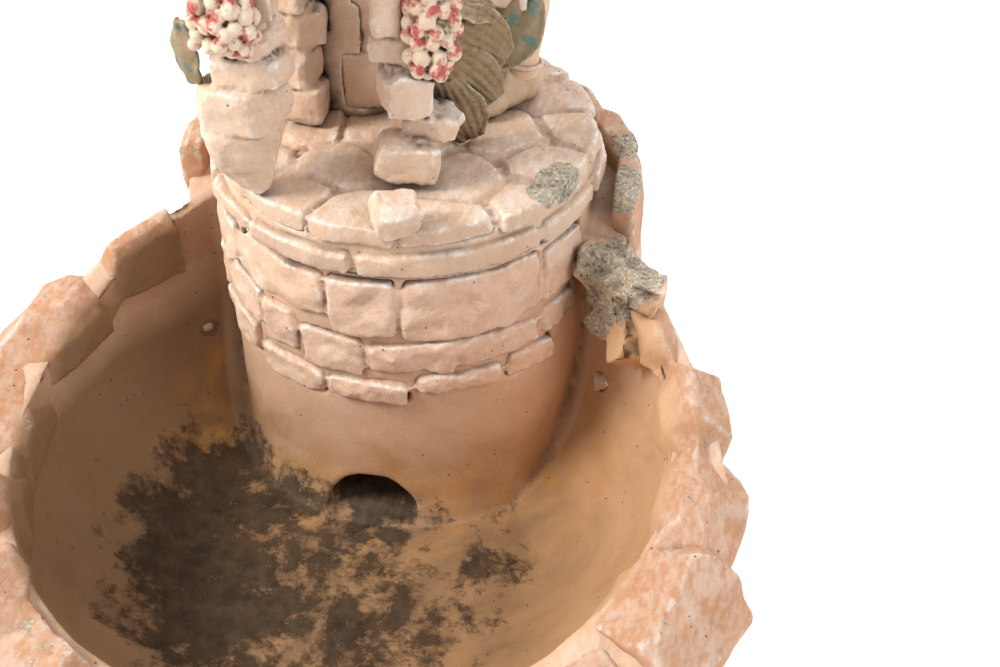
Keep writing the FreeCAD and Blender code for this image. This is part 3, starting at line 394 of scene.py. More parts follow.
def basin_stains_and_left_shade(tree, place, colour, height, patch):
    """Inside the basin: trowelled and washed smooth, tan below the water line, ochre where the
    water stood against the drum, dried dark soil on the floor, and painted shade on the left wall."""
    split = add(tree, "SeparateXYZ", {0: place})
    x, z = split.outputs["X"], split.outputs["Z"]
    flat = add(tree, "VectorMath", {0: place, 1: (1, 1, 0)}, operation="MULTIPLY").outputs[0]
    radius = add(tree, "VectorMath", {0: flat}, operation="LENGTH").outputs["Value"]
    inside = add(tree, "MapRange", [radius, 0.356, 0.34])
    swirl = add(
        tree, "TexNoise", {"Vector": place, "Scale": 5.5, "Detail": 5.0, "Roughness": 0.6, "Distortion": 1.6})
    wavy = add(tree, "Math", [swirl, 0.2, z], operation="MULTIPLY_ADD")
    depth = add(tree, "ValToRGB", {0: add(tree, "MapRange", [wavy, 0.12, 0.45])})
    ramp = depth.color_ramp
    ramp.elements[0].color = linear("#6F553A")
    ramp.elements[1].position = 1.0
    ramp.elements[1].color = linear("#E0B48C")
    for position, code in ((0.12, "#96744F"), (0.3, "#B98F66"), (0.55, "#D0A67C"), (0.8, "#DDB388")):
        ramp.elements.new(position).color = linear(code)
    # the left wall is painted darker: a painted shade
    shade = add(tree, "Math", [patch, 0.1, x], operation="MULTIPLY_ADD")
    left = add(tree, "MapRange", [shade, 0.02, -0.22, 0.0, 0.8])
    wall = add(tree, "Mix", {0: left, 6: depth.outputs["Color"], 7: linear("#644A2F")}, data_type="RGBA")
    away_drum = add(tree, "VectorMath", {0: flat, 1: DRUM_CENTRE}, operation="DISTANCE").outputs["Value"]
    by_drum = add(tree, "MapRange", [away_drum, 0.36, 0.235])
    band = add(
        tree, "Math", [add(tree, "MapRange", [wavy, 0.27, 0.21]), add(tree, "MapRange", [wavy, 0.155, 0.19])],
        operation="MULTIPLY")
    veins = add(
        tree, "MapRange", [
            add(
                tree, "TexNoise",
                {"Vector": place, "Scale": 9.0, "Detail": 4.0, "Roughness": 0.55, "Distortion": 2.2}), 0.42,
            0.6, 0.15, 1.0])
    ochre = add(
        tree, "Math", [add(tree, "Math", [by_drum, band], operation="MULTIPLY"), veins], operation="MULTIPLY")
    wet = add(
        tree, "Mix",
        {0: add(tree, "Math", [ochre, 0.85], operation="MULTIPLY"), 6: wall, 7: linear("#BC8537")},
        data_type="RGBA")
    off_drum = add(tree, "MapRange", [away_drum, 0.224, 0.24])
    below = add(tree, "MapRange", [wavy, 0.34, 0.2, 0.0, 0.85])
    share = add(
        tree, "Math", [add(tree, "Math", [off_drum, below], operation="MAXIMUM"), inside],
        operation="MULTIPLY")
    colour = add(
        tree, "Mix", {0: add(tree, "Math", [share, 0.92], operation="MULTIPLY"), 6: colour, 7: wet},
        data_type="RGBA")

    # dried soil lies on the floor, with pale scuffs left in it; it climbs higher on the left wall, where that
    # is painted shade
    blot = add(
        tree, "TexNoise",
        {"Vector": place, "Scale": 13.0, "Detail": 12.0, "Roughness": 0.74, "Distortion": 0.2})
    crumbs = add(tree, "TexNoise", {"Vector": place, "Scale": 46.0, "Detail": 8.0, "Roughness": 0.72})
    lean = add(tree, "Math", [x, 0.12, z], operation="MULTIPLY_ADD")
    bed_share = add(tree, "MapRange", [lean, 0.20, 0.03, 0.0, 0.58])
    cover = add(
        tree, "Math", [
            add(
                tree, "Math", [crumbs, 0.32, add(tree, "Math", [blot, 0.68], operation="MULTIPLY")],
                operation="MULTIPLY_ADD"), bed_share], operation="ADD")
    soil_and_shade = add(tree, "Math", [add(tree, "MapRange", [cover, 0.92, 0.995]), inside], operation="MULTIPLY")
    crust = add(
        tree, "Mix",
        {0: add(tree, "MapRange", [crumbs, 0.35, 0.66]), 6: linear("#1E160E"), 7: linear("#4F3D2A")},
        data_type="RGBA")
    colour = add(
        tree, "Mix", {0: add(tree, "Math", [soil_and_shade, 0.93], operation="MULTIPLY"), 6: colour, 7: crust},
        data_type="RGBA")
    height = add(
        tree, "Math", [add(tree, "Math", [soil_and_shade, crumbs], operation="MULTIPLY"), 3.0, height],
        operation="MULTIPLY_ADD")
    return (colour, height, add(tree, "Math", [share, 0.96], operation="MULTIPLY"))


# the limewash colour also paints light on upward faces, and the soil colour also paints shade in the hollows
PEACH, SALMON, LIME_AND_TOP_LIGHT, SOIL_AND_SHADE = "#DDB493", "#E5BF9F", "#FAF1E5", "#5F4A35"
casting.data.materials.append(cast_stone("stained_cast_concrete", PEACH, SALMON, LIME_AND_TOP_LIGHT, SOIL_AND_SHADE, wash_and_top_light_amount=0.35,
                                         soil_and_shade_amount=0.7, basin=True,
                                         bare=[((0.262, 0.205, 0.37), 0.07), ((0.25, 0.22, 0.31), 0.05)]))
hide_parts("basin_bowl", "drum_shell")
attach(casting, "lower_casting")


# ---- Rim and wing stones --------------------------------------------------------------------
# Big broken stones all round the rim, climbing at the sides to the wall behind the drum. They
# are part of the casting, hammered rough, with limewash on the ridges and bare grey concrete.
def parted(piece, gap):
    """Draw each stone of a mesh in along its own faces, which leaves a joint round it."""
    only(piece)
    bpy.ops.object.mode_set(mode="EDIT")
    bpy.ops.mesh.select_all(action="SELECT")
    bpy.ops.mesh.separate(type="LOOSE")
    bpy.ops.object.mode_set(mode="OBJECT")
    stones = list(bpy.context.selected_objects)
    for stone in stones:
        moved(stone, -gap / 2)
    return joined(piece.name, piece, *[stone for stone in stones if stone != piece])


def rock(name, nodes, body, material, most, voxel=VOXEL, swell=0.010, lump=0.004, close=0.0, struck=0,
         soft=2, joint=0.0):
    """Turn flat-sided CAD stones into broken ones. close fills the joints to V notches, joint opens
    them, and struck is the number of faces a group is cut down to, so that it reads as chiselled."""
    piece = copy_of(name, *nodes)
    if joint:
        parted(piece, joint)
    remeshed(piece, voxel)
    if close:
        moved(piece, close)
        remeshed(piece, voxel)
        moved(piece, -close)
    pushed(piece, broad, swell, 0.45)
    pushed(piece, lumps, lump * 3)
    if struck:
        faceted(piece, struck, voxel)
    apply(piece, "SMOOTH", factor=0.5, iterations=soft)
    if joint:
        inner = mortar_of("inner", nodes, 0.003, 0.006, 0.003)
        joined(name, piece, inner)
        remeshed(piece, voxel)
    pushed(piece, lumps, lump)
    pushed(piece, pits, 0.0009)
    thinned(piece, most)
    piece.data.materials.append(material)
    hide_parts(*nodes)
    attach(piece, body)
    return piece


rim_places = [((0.242, 0.10, 0.41), 0.055), ((0.239, 0.29, 0.43), 0.05), ((0.288, 0.05, 0.38), 0.05),
              ((0.225, 0.20, 0.42), 0.05), ((0.306, 0.02, 0.37), 0.04), ((-0.324, 0.142, 0.40), 0.05),
              ((-0.36, 0.10, 0.36), 0.045), ((-0.254, 0.245, 0.43), 0.04), ((0.25, 0.38, 0.43), 0.05)]
rim_concrete = cast_stone(
    "limewashed_rim_concrete", "#C8926B", "#D4A17C", "#FBF4EA", "#5E4734", wash_and_top_light_amount=0.45, soil_and_shade_amount=0.7,
    bare=rim_places, crest_bare=0.42, basin=True)
for group, struck in (("left_rim_stones", 360), ("front_rim_stones", 520), ("right_rim_stones", 360),
                      ("wing_stones", 560)):
    rock(group + "_cast", [group], "lower_casting", rim_concrete, 120000, swell=0.016,
         lump=0.0022, close=0.020, struck=struck, soft=1)

# ---- Facing stones outside ------------------------------------------------------------------
# Two courses of flat stones round the basin and four round the back of the drum, modelled in
# relief on the casting and stained like the rest.
wall_concrete = cast_stone("stained_wall_concrete", "#DAAF8E", "#E3BC9C", LIME_AND_TOP_LIGHT, SOIL_AND_SHADE, wash_and_top_light_amount=0.6)
for group in wall_nodes:
    rock(group + "_cast", [group], "lower_casting", wall_concrete, 110000, swell=0.005,
         lump=0.002, struck=1500)

# ---- Drum courses ---------------------------------------------------------------------------
# Three courses of dressed stones on the front of the drum, wide ones on top and thinner ones
# below, where they fade into the plaster.
drum_concrete = cast_stone(
    "stained_drum_concrete", "#EBC3A3", "#F1CDB0", "#FDF6EC", "#6B503B", wash_and_top_light_amount=0.8, soil_and_shade_amount=0.6)
for group, struck in (("upper_drum_course", 220), ("middle_drum_course", 260), ("lower_drum_course", 200)):
    rock(group + "_cast", [group], "lower_casting", drum_concrete, 60000, voxel=0.0025,
         swell=0.009, lump=0.0036, struck=struck * 3, soft=1, joint=0.006)

# ---- Top casting: slab and paving -----------------------------------------------------------
# A round slab that lifts off the drum, with long stones round its edge and irregular flags on
# top. Flags and edge are worn pale, and one flag is bare concrete.
slab_bed = mortar_of("slab_bed", ["flagstones", "slab_edge_stones"], 0.004, 0.010, 0.004)
slab = joined("slab_disc_cast", copy_of("slab_core", "slab_disc"), slab_bed)
remeshed(slab, 0.003)
apply(slab, "SMOOTH", factor=0.5, iterations=5)
pushed(slab, lumps, 0.002)
thinned(slab, 110000)
paving_concrete = cast_stone(
    "worn_paving_concrete", "#DDBA9C", "#E4C4A7", "#FBF3E8", "#6B5340", wash_and_top_light_amount=0.7, soil_and_shade_amount=0.6,
    bare=[((0.193, 0.222, 0.474), 0.04), ((0.175, 0.2, 0.474), 0.03)])
slab.data.materials.append(paving_concrete)
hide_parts("slab_disc")
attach(slab, "top_casting")
rock(
    "flagstones_cast", ["flagstones"], "top_casting", paving_concrete, 120000,
    voxel=0.0026, swell=0.004, lump=0.0018, struck=2400, joint=0.006)
rock("slab_edge_cast", ["slab_edge_stones"], "top_casting", paving_concrete, 90000,
     voxel=0.0026, swell=0.006, lump=0.0018, struck=1100, joint=0.006)

# ---- Rock stacks and grotto -----------------------------------------------------------------
# Stones piled into two stacks, with a recess between them that a rough wall closes behind, and
# flat cap stones on top. Cast in one with the slab.
# the stacks' dark soil colour, laid by ambient occlusion, also paints the shade of the recess and the joints
stack_concrete = cast_stone(
    "worn_stack_concrete", "#E0BFA2", "#E7C9AE", "#FBF5EB", "#3E2C1C", wash_and_top_light_amount=0.85, soil_and_shade_amount=1.1)
piled = (
    "left_stack_stones", "centre_stack_stones", "recess_side_stones", "recess_wall_stones", "rear_rock_stones")
for group, most, struck in (("left_stack_stones", 70000, 1100), ("centre_stack_stones", 60000, 900),
                            ("recess_side_stones", 40000, 700), ("recess_wall_stones", 30000, 500),
                            ("rear_rock_stones", 60000, 760), ("cap_stones", 60000, 320),
                            ("splash_stone", 16000, 90), ("grotto_core", 50000, 500)):
    rock(group + "_cast", [group], "top_casting", stack_concrete, most, voxel=0.0022,
         swell=0.007, lump=0.0026, struck=struck * 2, soft=1, joint=0.007 if group in piled else 0.0)

# ---- Flowers and leaves ---------------------------------------------------------------------
# Bunches of round buds and broad stiff leaves, modelled in the casting on both stacks. The buds
# were painted red and the leaves green, and most of the paint has worn off.
bud_concrete = cast_stone(
    "red_painted_bud_concrete", "#E9CFB3", "#EEDABF", "#FAF1E2", "#5E4630", wash_and_top_light_amount=0.45, soil_and_shade_amount=0.9,
    grain=0.6, paint="#C4615C", paint_start=0.5)
leaf_concrete = cast_stone("green_painted_leaf_concrete", "#A08B6B", "#8F7D60", "#E2D3B8", "#3C2F20",
                           wash_and_top_light_amount=0.35, soil_and_shade_amount=0.95, grain=0.7, paint="#71877A", paint_start=0.49)
ruffle_concrete = cast_stone(
    "soiled_leaf_concrete", "#9A8062", "#86704F", "#DCC9AC", "#32261A", wash_and_top_light_amount=0.5, soil_and_shade_amount=1.0,
    grain=0.8)


def finish(piece, material, body, slot, *nodes):
    """Give a piece its material, the nodes it stands for and its body. slot is not used."""
    piece.data.materials.clear()
    piece.data.materials.append(material)
    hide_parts(*nodes)
    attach(piece, body)
    return piece


def ball(name, place, size, turn=0.0):
    """A ball drawn out to three half sizes, turned about the upright."""
    bpy.ops.mesh.primitive_uv_sphere_add(segments=28, ring_count=18, radius=1.0, location=place)
    piece = bpy.context.object
    piece.name = name
    piece.scale = size
    piece.rotation_euler = (0, 0, turn)
    bpy.ops.object.transform_apply(location=True, rotation=True, scale=True)
    return piece


def bunch(name, node, seed, count, size):
    """A bunch of buds: the node's lump, softened, with pointed oval buds laid over its front."""
    rng = random.Random(seed)
    lump = remeshed(copy_of(name, node), 0.0018)
    apply(lump, "SMOOTH", factor=0.5, iterations=10)
    pieces = [lump]
    outward = [v for v in lump.data.vertices if v.normal.y < 0.2]
    taken = []
    while len(taken) < count:
        vertex = rng.choice(outward)
        if all((vertex.co - other).length > size * 1.35 for other in taken):
            taken.append(vertex.co.copy())
            around = rng.uniform(0.85, 1.15)
            pieces.append(ball("bud", vertex.co + vertex.normal * size * 0.25,
                               (size * around, size * 0.95, size * 1.12 * around), rng.uniform(0, 3)))
        elif rng.random() < 0.004:
            size *= 0.97
    piece = joined(name, *pieces)
    remeshed(piece, 0.0014)
    apply(piece, "SMOOTH", factor=0.5, iterations=2)
    pushed(piece, petals, 0.0010)
    thinned(piece, 60000)
    return piece


petals = texture("petals", "CLOUDS", 0.007, noise_depth=1)
finish(bunch("left_bud_bunch", "left_flowers", 201, 30, 0.0082), bud_concrete, "top_casting", "flower_paint",
       "left_flowers")
finish(
    bunch("centre_bud_bunch", "centre_flowers", 202, 46, 0.0082), bud_concrete, "top_casting", "flower_paint",
    "centre_flowers")


def leaf(name, root, tip, normal, width, arch, ribs, depth):
    """A stiff leaf from root to tip: a grid bent along its length, ribbed and ruffled at its edge."""
    bpy.ops.mesh.primitive_grid_add(x_subdivisions=44, y_subdivisions=44, size=1.0)
    piece = bpy.context.object
    piece.name = name
    root, way, normal = Vector(root), Vector(tip) - Vector(root), Vector(normal).normalized()
    across = normal.cross(way).normalized()
    for vertex in piece.data.vertices:
        u, w = vertex.co.x + 0.5, vertex.co.y * 2
        half = width / 2 * (0.45 + 0.75 * math.sin(math.pi * (0.12 + 0.72 * u)) ** 1.2) * (1 - 0.35 * u ** 6)
        rib = depth * math.sin(math.pi * ribs * w + 1.5 * math.sin(3 * u)) * (0.45 + 0.55 * u)
        ruffle = depth * 1.3 * math.sin(17 * u + 4 * w) * abs(w) ** 3 + depth * 1.5 * math.sin(7 * w) * u ** 5
        lift = arch * math.sin(math.pi * u) - arch * 0.8 * w * w
        vertex.co = root + way * u + across * (w * half) + normal * (lift + rib + ruffle)
    apply(piece, "SOLIDIFY", thickness=0.0045, offset=0.0)
    return piece


def leaves(name, blades):
    piece = joined(name, *[leaf("blade", *blade) for blade in blades])
    remeshed(piece, 0.0015)
    apply(piece, "SMOOTH", factor=0.5, iterations=2)
    pushed(piece, pits, 0.0010)
    return thinned(piece, 60000)


left_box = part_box("left_leaf")
left_x, left_y = left_box[0][0] + 0.007, left_box[0][1] + 0.012
finish(
    leaves(
        "left_leaf_cast", [
            (
                (left_x + 0.004, left_y + 0.004, left_box[0][2]), (left_x, left_y, left_box[1][2]),
                (-0.5, -1, 0.1), 0.03, 0.004, 1.5, 0.0012)]), leaf_concrete, "top_casting", "leaf_paint",
    "left_leaf")
finish(leaves("ruffled_leaves_cast", [
    ((0.058, 0.216, 0.668), (0.100, 0.300, 0.618), (0.2, -0.6, 0.8), 0.038, 0.006, 4.5, 0.0018),
    ((0.058, 0.222, 0.640), (0.112, 0.298, 0.560), (0.1, -0.9, 0.5), 0.066, 0.008, 8.5, 0.0022),
    ((0.056, 0.228, 0.598), (0.102, 0.288, 0.515), (0.1, -0.95, 0.4), 0.060, 0.006, 7.5, 0.0020),
    ((0.058, 0.236, 0.560), (0.080, 0.272, 0.474), (0.2, -1.0, 0.3), 0.054, 0.004, 6.5, 0.0020)]),
    ruffle_concrete, "top_casting", "leaf_paint", "ruffled_leaves")
finish(leaves("ribbed_leaf_cast", [
    ((0.086, 0.316, 0.548), (0.126, 0.345, 0.622), (-0.1, -1.0, 0.35), 0.072, 0.006, 3.5, 0.0022),
    ((0.080, 0.322, 0.500), (0.092, 0.330, 0.565), (0.0, -1.0, 0.3), 0.040, 0.004, 2.5, 0.0018)]),
    leaf_concrete, "top_casting", "leaf_paint", "ribbed_leaf")

# ---- Figure: legs, shoes and clothes --------------------------------------------------------
# A girl who stands behind the grotto and tips a jug over it. The figure is cast with the top
# round two steel rods, in finer concrete, stained paler than the rocks and limewashed.
figure_concrete = cast_stone("fine_stained_figure_concrete", "#E4BC9B", "#ECCBAE", "#FAF0E4", "#6A503A",
                             wash_and_top_light_amount=0.6, soil_and_shade_amount=0.7, grain=0.6)
shoe_concrete = cast_stone("worn_shoe_concrete", "#D3B08E", "#DCBF9F", "#F6EADB", "#5A4530", wash_and_top_light_amount=0.55,
                           soil_and_shade_amount=0.8, grain=0.9)
cloth_concrete = cast_stone("limewashed_dress_concrete", "#EBCDB0", "#F0D8BF", "#FCF5EA", "#6A503A",
                            wash_and_top_light_amount=0.8, soil_and_shade_amount=0.8, grain=0.6)
dress_low, dress_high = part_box("dress")
figure_middle = (dress_low + dress_high) / 2
figure_turn = math.radians(-36.87)
hem, waist = dress_low[2], dress_high[2]
paving_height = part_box("shoes")[0][2]
head_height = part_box("head")[1][2] - 0.050


def stand(piece):
    """Turn a piece that was made facing the front, and set it on the figure's own place."""
    piece.matrix_world = (Matrix.Translation((figure_middle[0], figure_middle[1], 0))
                          @ Matrix.Rotation(figure_turn, 4, "Z") @ piece.matrix_world)
    only(piece)
    bpy.ops.object.transform_apply(location=True, rotation=True, scale=True)
    return piece


def loft(name, rings, sides=48):
    """A closed body through level rings, each (x, y, z, half width, half depth)."""
    bpy.ops.object.select_all(action="DESELECT")
    bpy.ops.mesh.primitive_circle_add(vertices=sides, radius=1.0, fill_type="NGON", location=(0, 0, 0))
    piece = bpy.context.object
    piece.name = name
    bpy.ops.object.mode_set(mode="EDIT")
    bpy.ops.mesh.select_all(action="SELECT")
    x, y, z, wide, deep = rings[0]
    bpy.ops.transform.resize(value=(wide, deep, 1), center_override=(0, 0, 0))
    bpy.ops.transform.translate(value=(x, y, z))
    for nx, ny, nz, next_wide, next_deep in rings[1:]:
        step = (nx - x, ny - y, nz - z)
        bpy.ops.mesh.extrude_region_move(TRANSFORM_OT_translate={"value": step})
        bpy.ops.transform.resize(value=(next_wide / wide, next_deep / deep, 1), center_override=(nx, ny, nz))
        x, y, z, wide, deep = nx, ny, nz, next_wide, next_deep
    bpy.ops.mesh.select_all(action="SELECT")
    bpy.ops.mesh.normals_make_consistent(inside=False)
    bpy.ops.object.mode_set(mode="OBJECT")
    return piece


def strand(name, points, radii):
    """A smooth round limb or lock of hair through the points, with a radius at each."""
    data = bpy.data.curves.new(name, "CURVE")
    data.dimensions = "3D"
    data.bevel_depth = 1.0
    data.bevel_resolution = 4
    data.use_fill_caps = True
    line = data.splines.new("NURBS")
    line.points.add(len(points) - 1)
    for point, place, radius in zip(line.points, points, radii):
        point.co = (*place, 1.0)
        point.radius = radius
    line.order_u = 3
    line.use_endpoint_u = True
    piece = bpy.data.objects.new(name, data)
    bpy.context.scene.collection.objects.link(piece)
    only(piece)
    bpy.ops.object.convert(target="MESH")
    return bpy.context.object


def grown(name, voxel, most, *pieces, smooth=2):
    """Join shapes into one skin."""
    piece = joined(name, *pieces)
    remeshed(piece, voxel)
    apply(piece, "SMOOTH", factor=0.5, iterations=smooth)
    return thinned(piece, most)


def leg_pair():
    pieces = []
    for x, heel_y in ((0.0436, 0.0252), (-0.036, 0.028)):
        y = heel_y - 0.022
        pieces.append(
            loft(
                "leg", [
                    (x, y, paving_height + 0.026, 0.0195, 0.021), (x, y, paving_height + 0.05, 0.0185, 0.02),
                    (x, y + 0.002, paving_height + 0.08, 0.0225, 0.025),
                    (x, y + 0.003, paving_height + 0.108, 0.0265, 0.029), (x, y, hem + 0.01, 0.0275, 0.03),
                    (x, y, hem + 0.028, 0.027, 0.029)], 40))
    return grown("legs_cast", 0.0022, 40000, *pieces)


def shoe(x, heel_y):
    """A slip-on shoe with a round toe, a collar at the ankle and a flat sole."""
    z = paving_height
    collar = strand(
        "collar",
        [(x + 0.0205 * math.sin(a), heel_y - 0.021 - 0.023 * math.cos(a), z + 0.04 + 0.004 * math.cos(a))
         for a in [k * math.pi / 9 for k in range(19)]], [0.0032] * 19)
    made = grown("shoe", 0.0017, 30000,
                 ball("toe", (x, heel_y - 0.074, z + 0.010), (0.0225, 0.032, 0.021)),
                 ball("instep", (x, heel_y - 0.046, z + 0.014), (0.021, 0.044, 0.024)),
                 ball("heel", (x, heel_y - 0.020, z + 0.016), (0.021, 0.023, 0.028)), collar)
    bpy.ops.object.mode_set(mode="EDIT")
    bpy.ops.mesh.select_all(action="SELECT")
    bpy.ops.mesh.bisect(plane_co=(0, 0, z), plane_no=(0, 0, 1), use_fill=True, clear_inner=True)
    bpy.ops.object.mode_set(mode="OBJECT")
    return made


legs = pushed(leg_pair(), lumps, 0.0015)
finish(stand(legs), figure_concrete, "top_casting", "figure_cast_stone", "legs")
shoes = pushed(joined("shoes_cast", shoe(0.0436, 0.0252), shoe(-0.036, 0.028)), pits, 0.0006)
finish(stand(shoes), shoe_concrete, "top_casting", "figure_cast_stone", "shoes")


def skirt():
    """A gathered skirt: folds that deepen to a rolled, uneven hem, hollow underneath."""
    span = waist - hem
    rings = [(0, 0, hem + 0.030, 0.058, 0.058), (0, 0, hem + 0.004, 0.071, 0.071), (0, 0, hem, 0.078, 0.078),
             (0, 0, hem + 0.004, 0.083, 0.083), (0, 0, hem + 0.012, 0.081, 0.081)]
    steps = 22
    for k in range(1, steps + 1):
        share = k / steps
        radius = 0.079 - 0.040 * share ** 0.85 + 0.004 * math.sin(math.pi * share)
        rings.append((0, 0, hem + 0.012 + (span - 0.012) * share, radius, radius * (1 - 0.08 * share)))
    piece = loft("dress_cast", rings, 144)
    for vertex in piece.data.vertices:
        share = max(0.0, 1 - (vertex.co.z - hem) / span)
        angle = math.atan2(vertex.co.y, vertex.co.x)
        wave = math.sin(11 * angle + 1.6 * math.sin(2 * angle)) + 0.5 * math.sin(23 * angle + 2)
        push = 0.0052 * share ** 1.1 * wave * (0.3 if vertex.co.z < hem + 0.003 else 1.0)
        out = Vector((vertex.co.x, vertex.co.y, 0)).normalized()
        vertex.co += out * (push - 0.004 * share) + Vector((0, 0, 0.004 * share ** 6 * math.sin(5 * angle)))
    remeshed(piece, 0.0026)
    apply(piece, "SMOOTH", factor=0.5, iterations=2)
    pushed(piece, lumps, 0.002)
    return thinned(piece, 90000)


finish(stand(skirt()), cloth_concrete, "top_casting", "figure_cast_stone", "dress")
waist_band = strand("band", [(0.040 * math.sin(a), -0.037 * math.cos(a), waist + 0.006)
                             for a in [k * math.pi / 12 for k in range(25)]], [0.0062] * 25)
bodice = grown(
    "bodice_cast", 0.0022, 60000, loft(
        "trunk", [
            (0, 0, waist, 0.0385, 0.035), (0, 0, waist + 0.03, 0.041, 0.037),
            (0, -0.001, waist + 0.07, 0.047, 0.04), (0, -0.001, waist + 0.105, 0.05, 0.0405),
            (0, 0, waist + 0.135, 0.05, 0.037), (0, 0, waist + 0.155, 0.04, 0.03),
            (0, 0.001, waist + 0.166, 0.024, 0.022), (0, 0.001, waist + 0.174, 0.018, 0.018)], 56),
    ball("chest", (0, -0.024, waist + 0.098), (0.036, 0.02, 0.026)),
    ball("right_sleeve", (0.05, 0.0, waist + 0.142), (0.025, 0.026, 0.024)),
    ball("left_sleeve", (-0.05, 0.0, waist + 0.142), (0.025, 0.026, 0.024)), strand(
        "neckline", [(0.03 * math.sin(a), -0.027 * math.cos(a) + 0.001, waist + 0.159 - 0.006 * math.cos(a))
         for a in [k * math.pi / 10 for k in range(21)]], [0.0042] * 21), waist_band, smooth=3)
pleats = texture("pleats", "WOOD", 0.011, wood_type="BANDNOISE", noise_basis_2="SIN", turbulence=3.0)
pushed(bodice, pleats, 0.0014)
finish(stand(bodice), cloth_concrete, "top_casting", "figure_cast_stone", "bodice")

# ---- Figure: arms and jug -------------------------------------------------------------------
# Bare forearms come out of puffed sleeves, and both hands hold the jug by its belly. The jug is
# round-bellied with a narrow neck, a rolled lip and one handle, tipped to pour.
jug_height = waist + 0.062


def arm(side):
    shoulder = (side * 0.050, 0.0, waist + 0.136)
    elbow = (side * 0.066, -0.032, jug_height + 0.004)
    wrist = (side * 0.050, -0.090, jug_height + 0.004)
    palm = Vector((side * 0.041, -0.108, jug_height))
    pieces = [
        strand(
            "sleeve_arm", [
                shoulder, (side * 0.062, -0.006, waist + 0.1), elbow,
                (side * 0.06, -0.062, jug_height + 0.002), wrist, palm],
            [0.016, 0.0145, 0.013, 0.012, 0.0088, 0.009]), ball("palm", palm, (0.0075, 0.015, 0.012))]
    for k in range(4):
        spread = 0.0060 * (k - 1.5)
        base = palm + Vector((0, -0.008, spread))
        pieces.append(strand("finger", [base, base + Vector((-side * 0.003, -0.014, spread * 0.2)),
                                        base + Vector((-side * 0.012, -0.024, spread * 0.2))],
                             [0.0042, 0.0039, 0.0032]))
    pieces.append(
        strand(
            "thumb", [
                palm + Vector((0, 0.002, 0.01)), palm + Vector((-side * 0.006, -0.006, 0.019)),
                palm + Vector((-side * 0.014, -0.01, 0.02))], [0.0048, 0.0044, 0.0036]))
    return grown("arm", 0.0015, 40000, *pieces)


arms = joined("arms_cast", arm(1), arm(-1))
finish(stand(pushed(arms, lumps, 0.0008)), figure_concrete, "top_casting", "figure_cast_stone", "arms")
jug_rings = (
    (0.024, -0.052), (0.026, -0.05), (0.025, -0.047), (0.032, -0.038), (0.0385, -0.024), (0.04, -0.012),
    (0.0385, 0.004), (0.033, 0.018), (0.025, 0.029), (0.0185, 0.037), (0.017, 0.044), (0.02, 0.052),
    (0.0255, 0.057), (0.0245, 0.0595), (0.019, 0.058), (0.014, 0.05), (0.012, 0.04), (0.012, 0.02))
jug = loft("jug_cast", [(0, 0, z, r, r) for r, z in jug_rings], 56)
handle = strand(
    "handle", [(0, 0.017, 0.05), (0, 0.034, 0.052), (0, 0.048, 0.038), (0, 0.05, 0.016), (0, 0.037, 0.004)],
    [0.0042, 0.0046, 0.005, 0.0046, 0.0042])
jug = grown("jug_cast", 0.0015, 50000, jug, handle)
jug_place = Matrix.Translation((figure_middle[0] - 0.6 * 0.112, figure_middle[1] - 0.8 * 0.112, jug_height))
jug_turn, jug_tip = Matrix.Rotation(math.radians(24), 4, "Z"), Matrix.Rotation(math.radians(-52), 4, "Y")
jug.matrix_world = jug_place @ jug_turn @ jug_tip
only(jug)
bpy.ops.object.transform_apply(location=True, rotation=True, scale=True)
pushed(jug, lumps, 0.001)
finish(jug, cloth_concrete, "top_casting", "figure_cast_stone", "jug")

# ---- Figure: head and hair ------------------------------------------------------------------
# A plain oval face with lowered lids and a closed mouth, in the usual proportions of a garden
# figure, with hair drawn back in thick locks to a bun.
def face_part(name, x, y, z, wide, deep, tall):
    return ball(name, (x, y, head_height + z), (wide, deep, tall))


head = grown(
    "head_cast", 0.0013, 90000, face_part("skull", 0, 0.004, 0.006, 0.043, 0.0475, 0.044),
    face_part("jaw", 0, -0.012, -0.02, 0.032, 0.032, 0.029),
    face_part("chin", 0, -0.033, -0.04, 0.01, 0.0085, 0.008),
    face_part("right_cheek", 0.0165, -0.029, -0.013, 0.013, 0.012, 0.0125),
    face_part("left_cheek", -0.0165, -0.029, -0.013, 0.013, 0.012, 0.0125),
    face_part("brow", 0, -0.0345, 0.011, 0.027, 0.0085, 0.007),
    face_part("bridge", 0, -0.0435, 0.001, 0.0038, 0.005, 0.011),
    face_part("tip", 0, -0.0475, -0.0085, 0.0052, 0.0056, 0.0046),
    face_part("right_lid", 0.015, -0.0375, 0.0015, 0.0078, 0.005, 0.0044),
    face_part("left_lid", -0.015, -0.0375, 0.0015, 0.0078, 0.005, 0.0044),
    face_part("upper_lip", 0, -0.042, -0.0205, 0.0086, 0.0038, 0.0024),
    face_part("lower_lip", 0, -0.0412, -0.0248, 0.0072, 0.0038, 0.0027),
    face_part("right_ear", 0.042, 0.002, -0.004, 0.004, 0.0085, 0.012),
    face_part("left_ear", -0.042, 0.002, -0.004, 0.004, 0.0085, 0.012), loft(
        "neck", [
            (0, 0.004, waist + 0.168, 0.019, 0.019), (0, 0.003, waist + 0.185, 0.016, 0.0165),
            (0, 0.001, head_height - 0.02, 0.017, 0.018)], 32), smooth=2)
finish(stand(head), figure_concrete, "top_casting", "figure_cast_stone", "head")


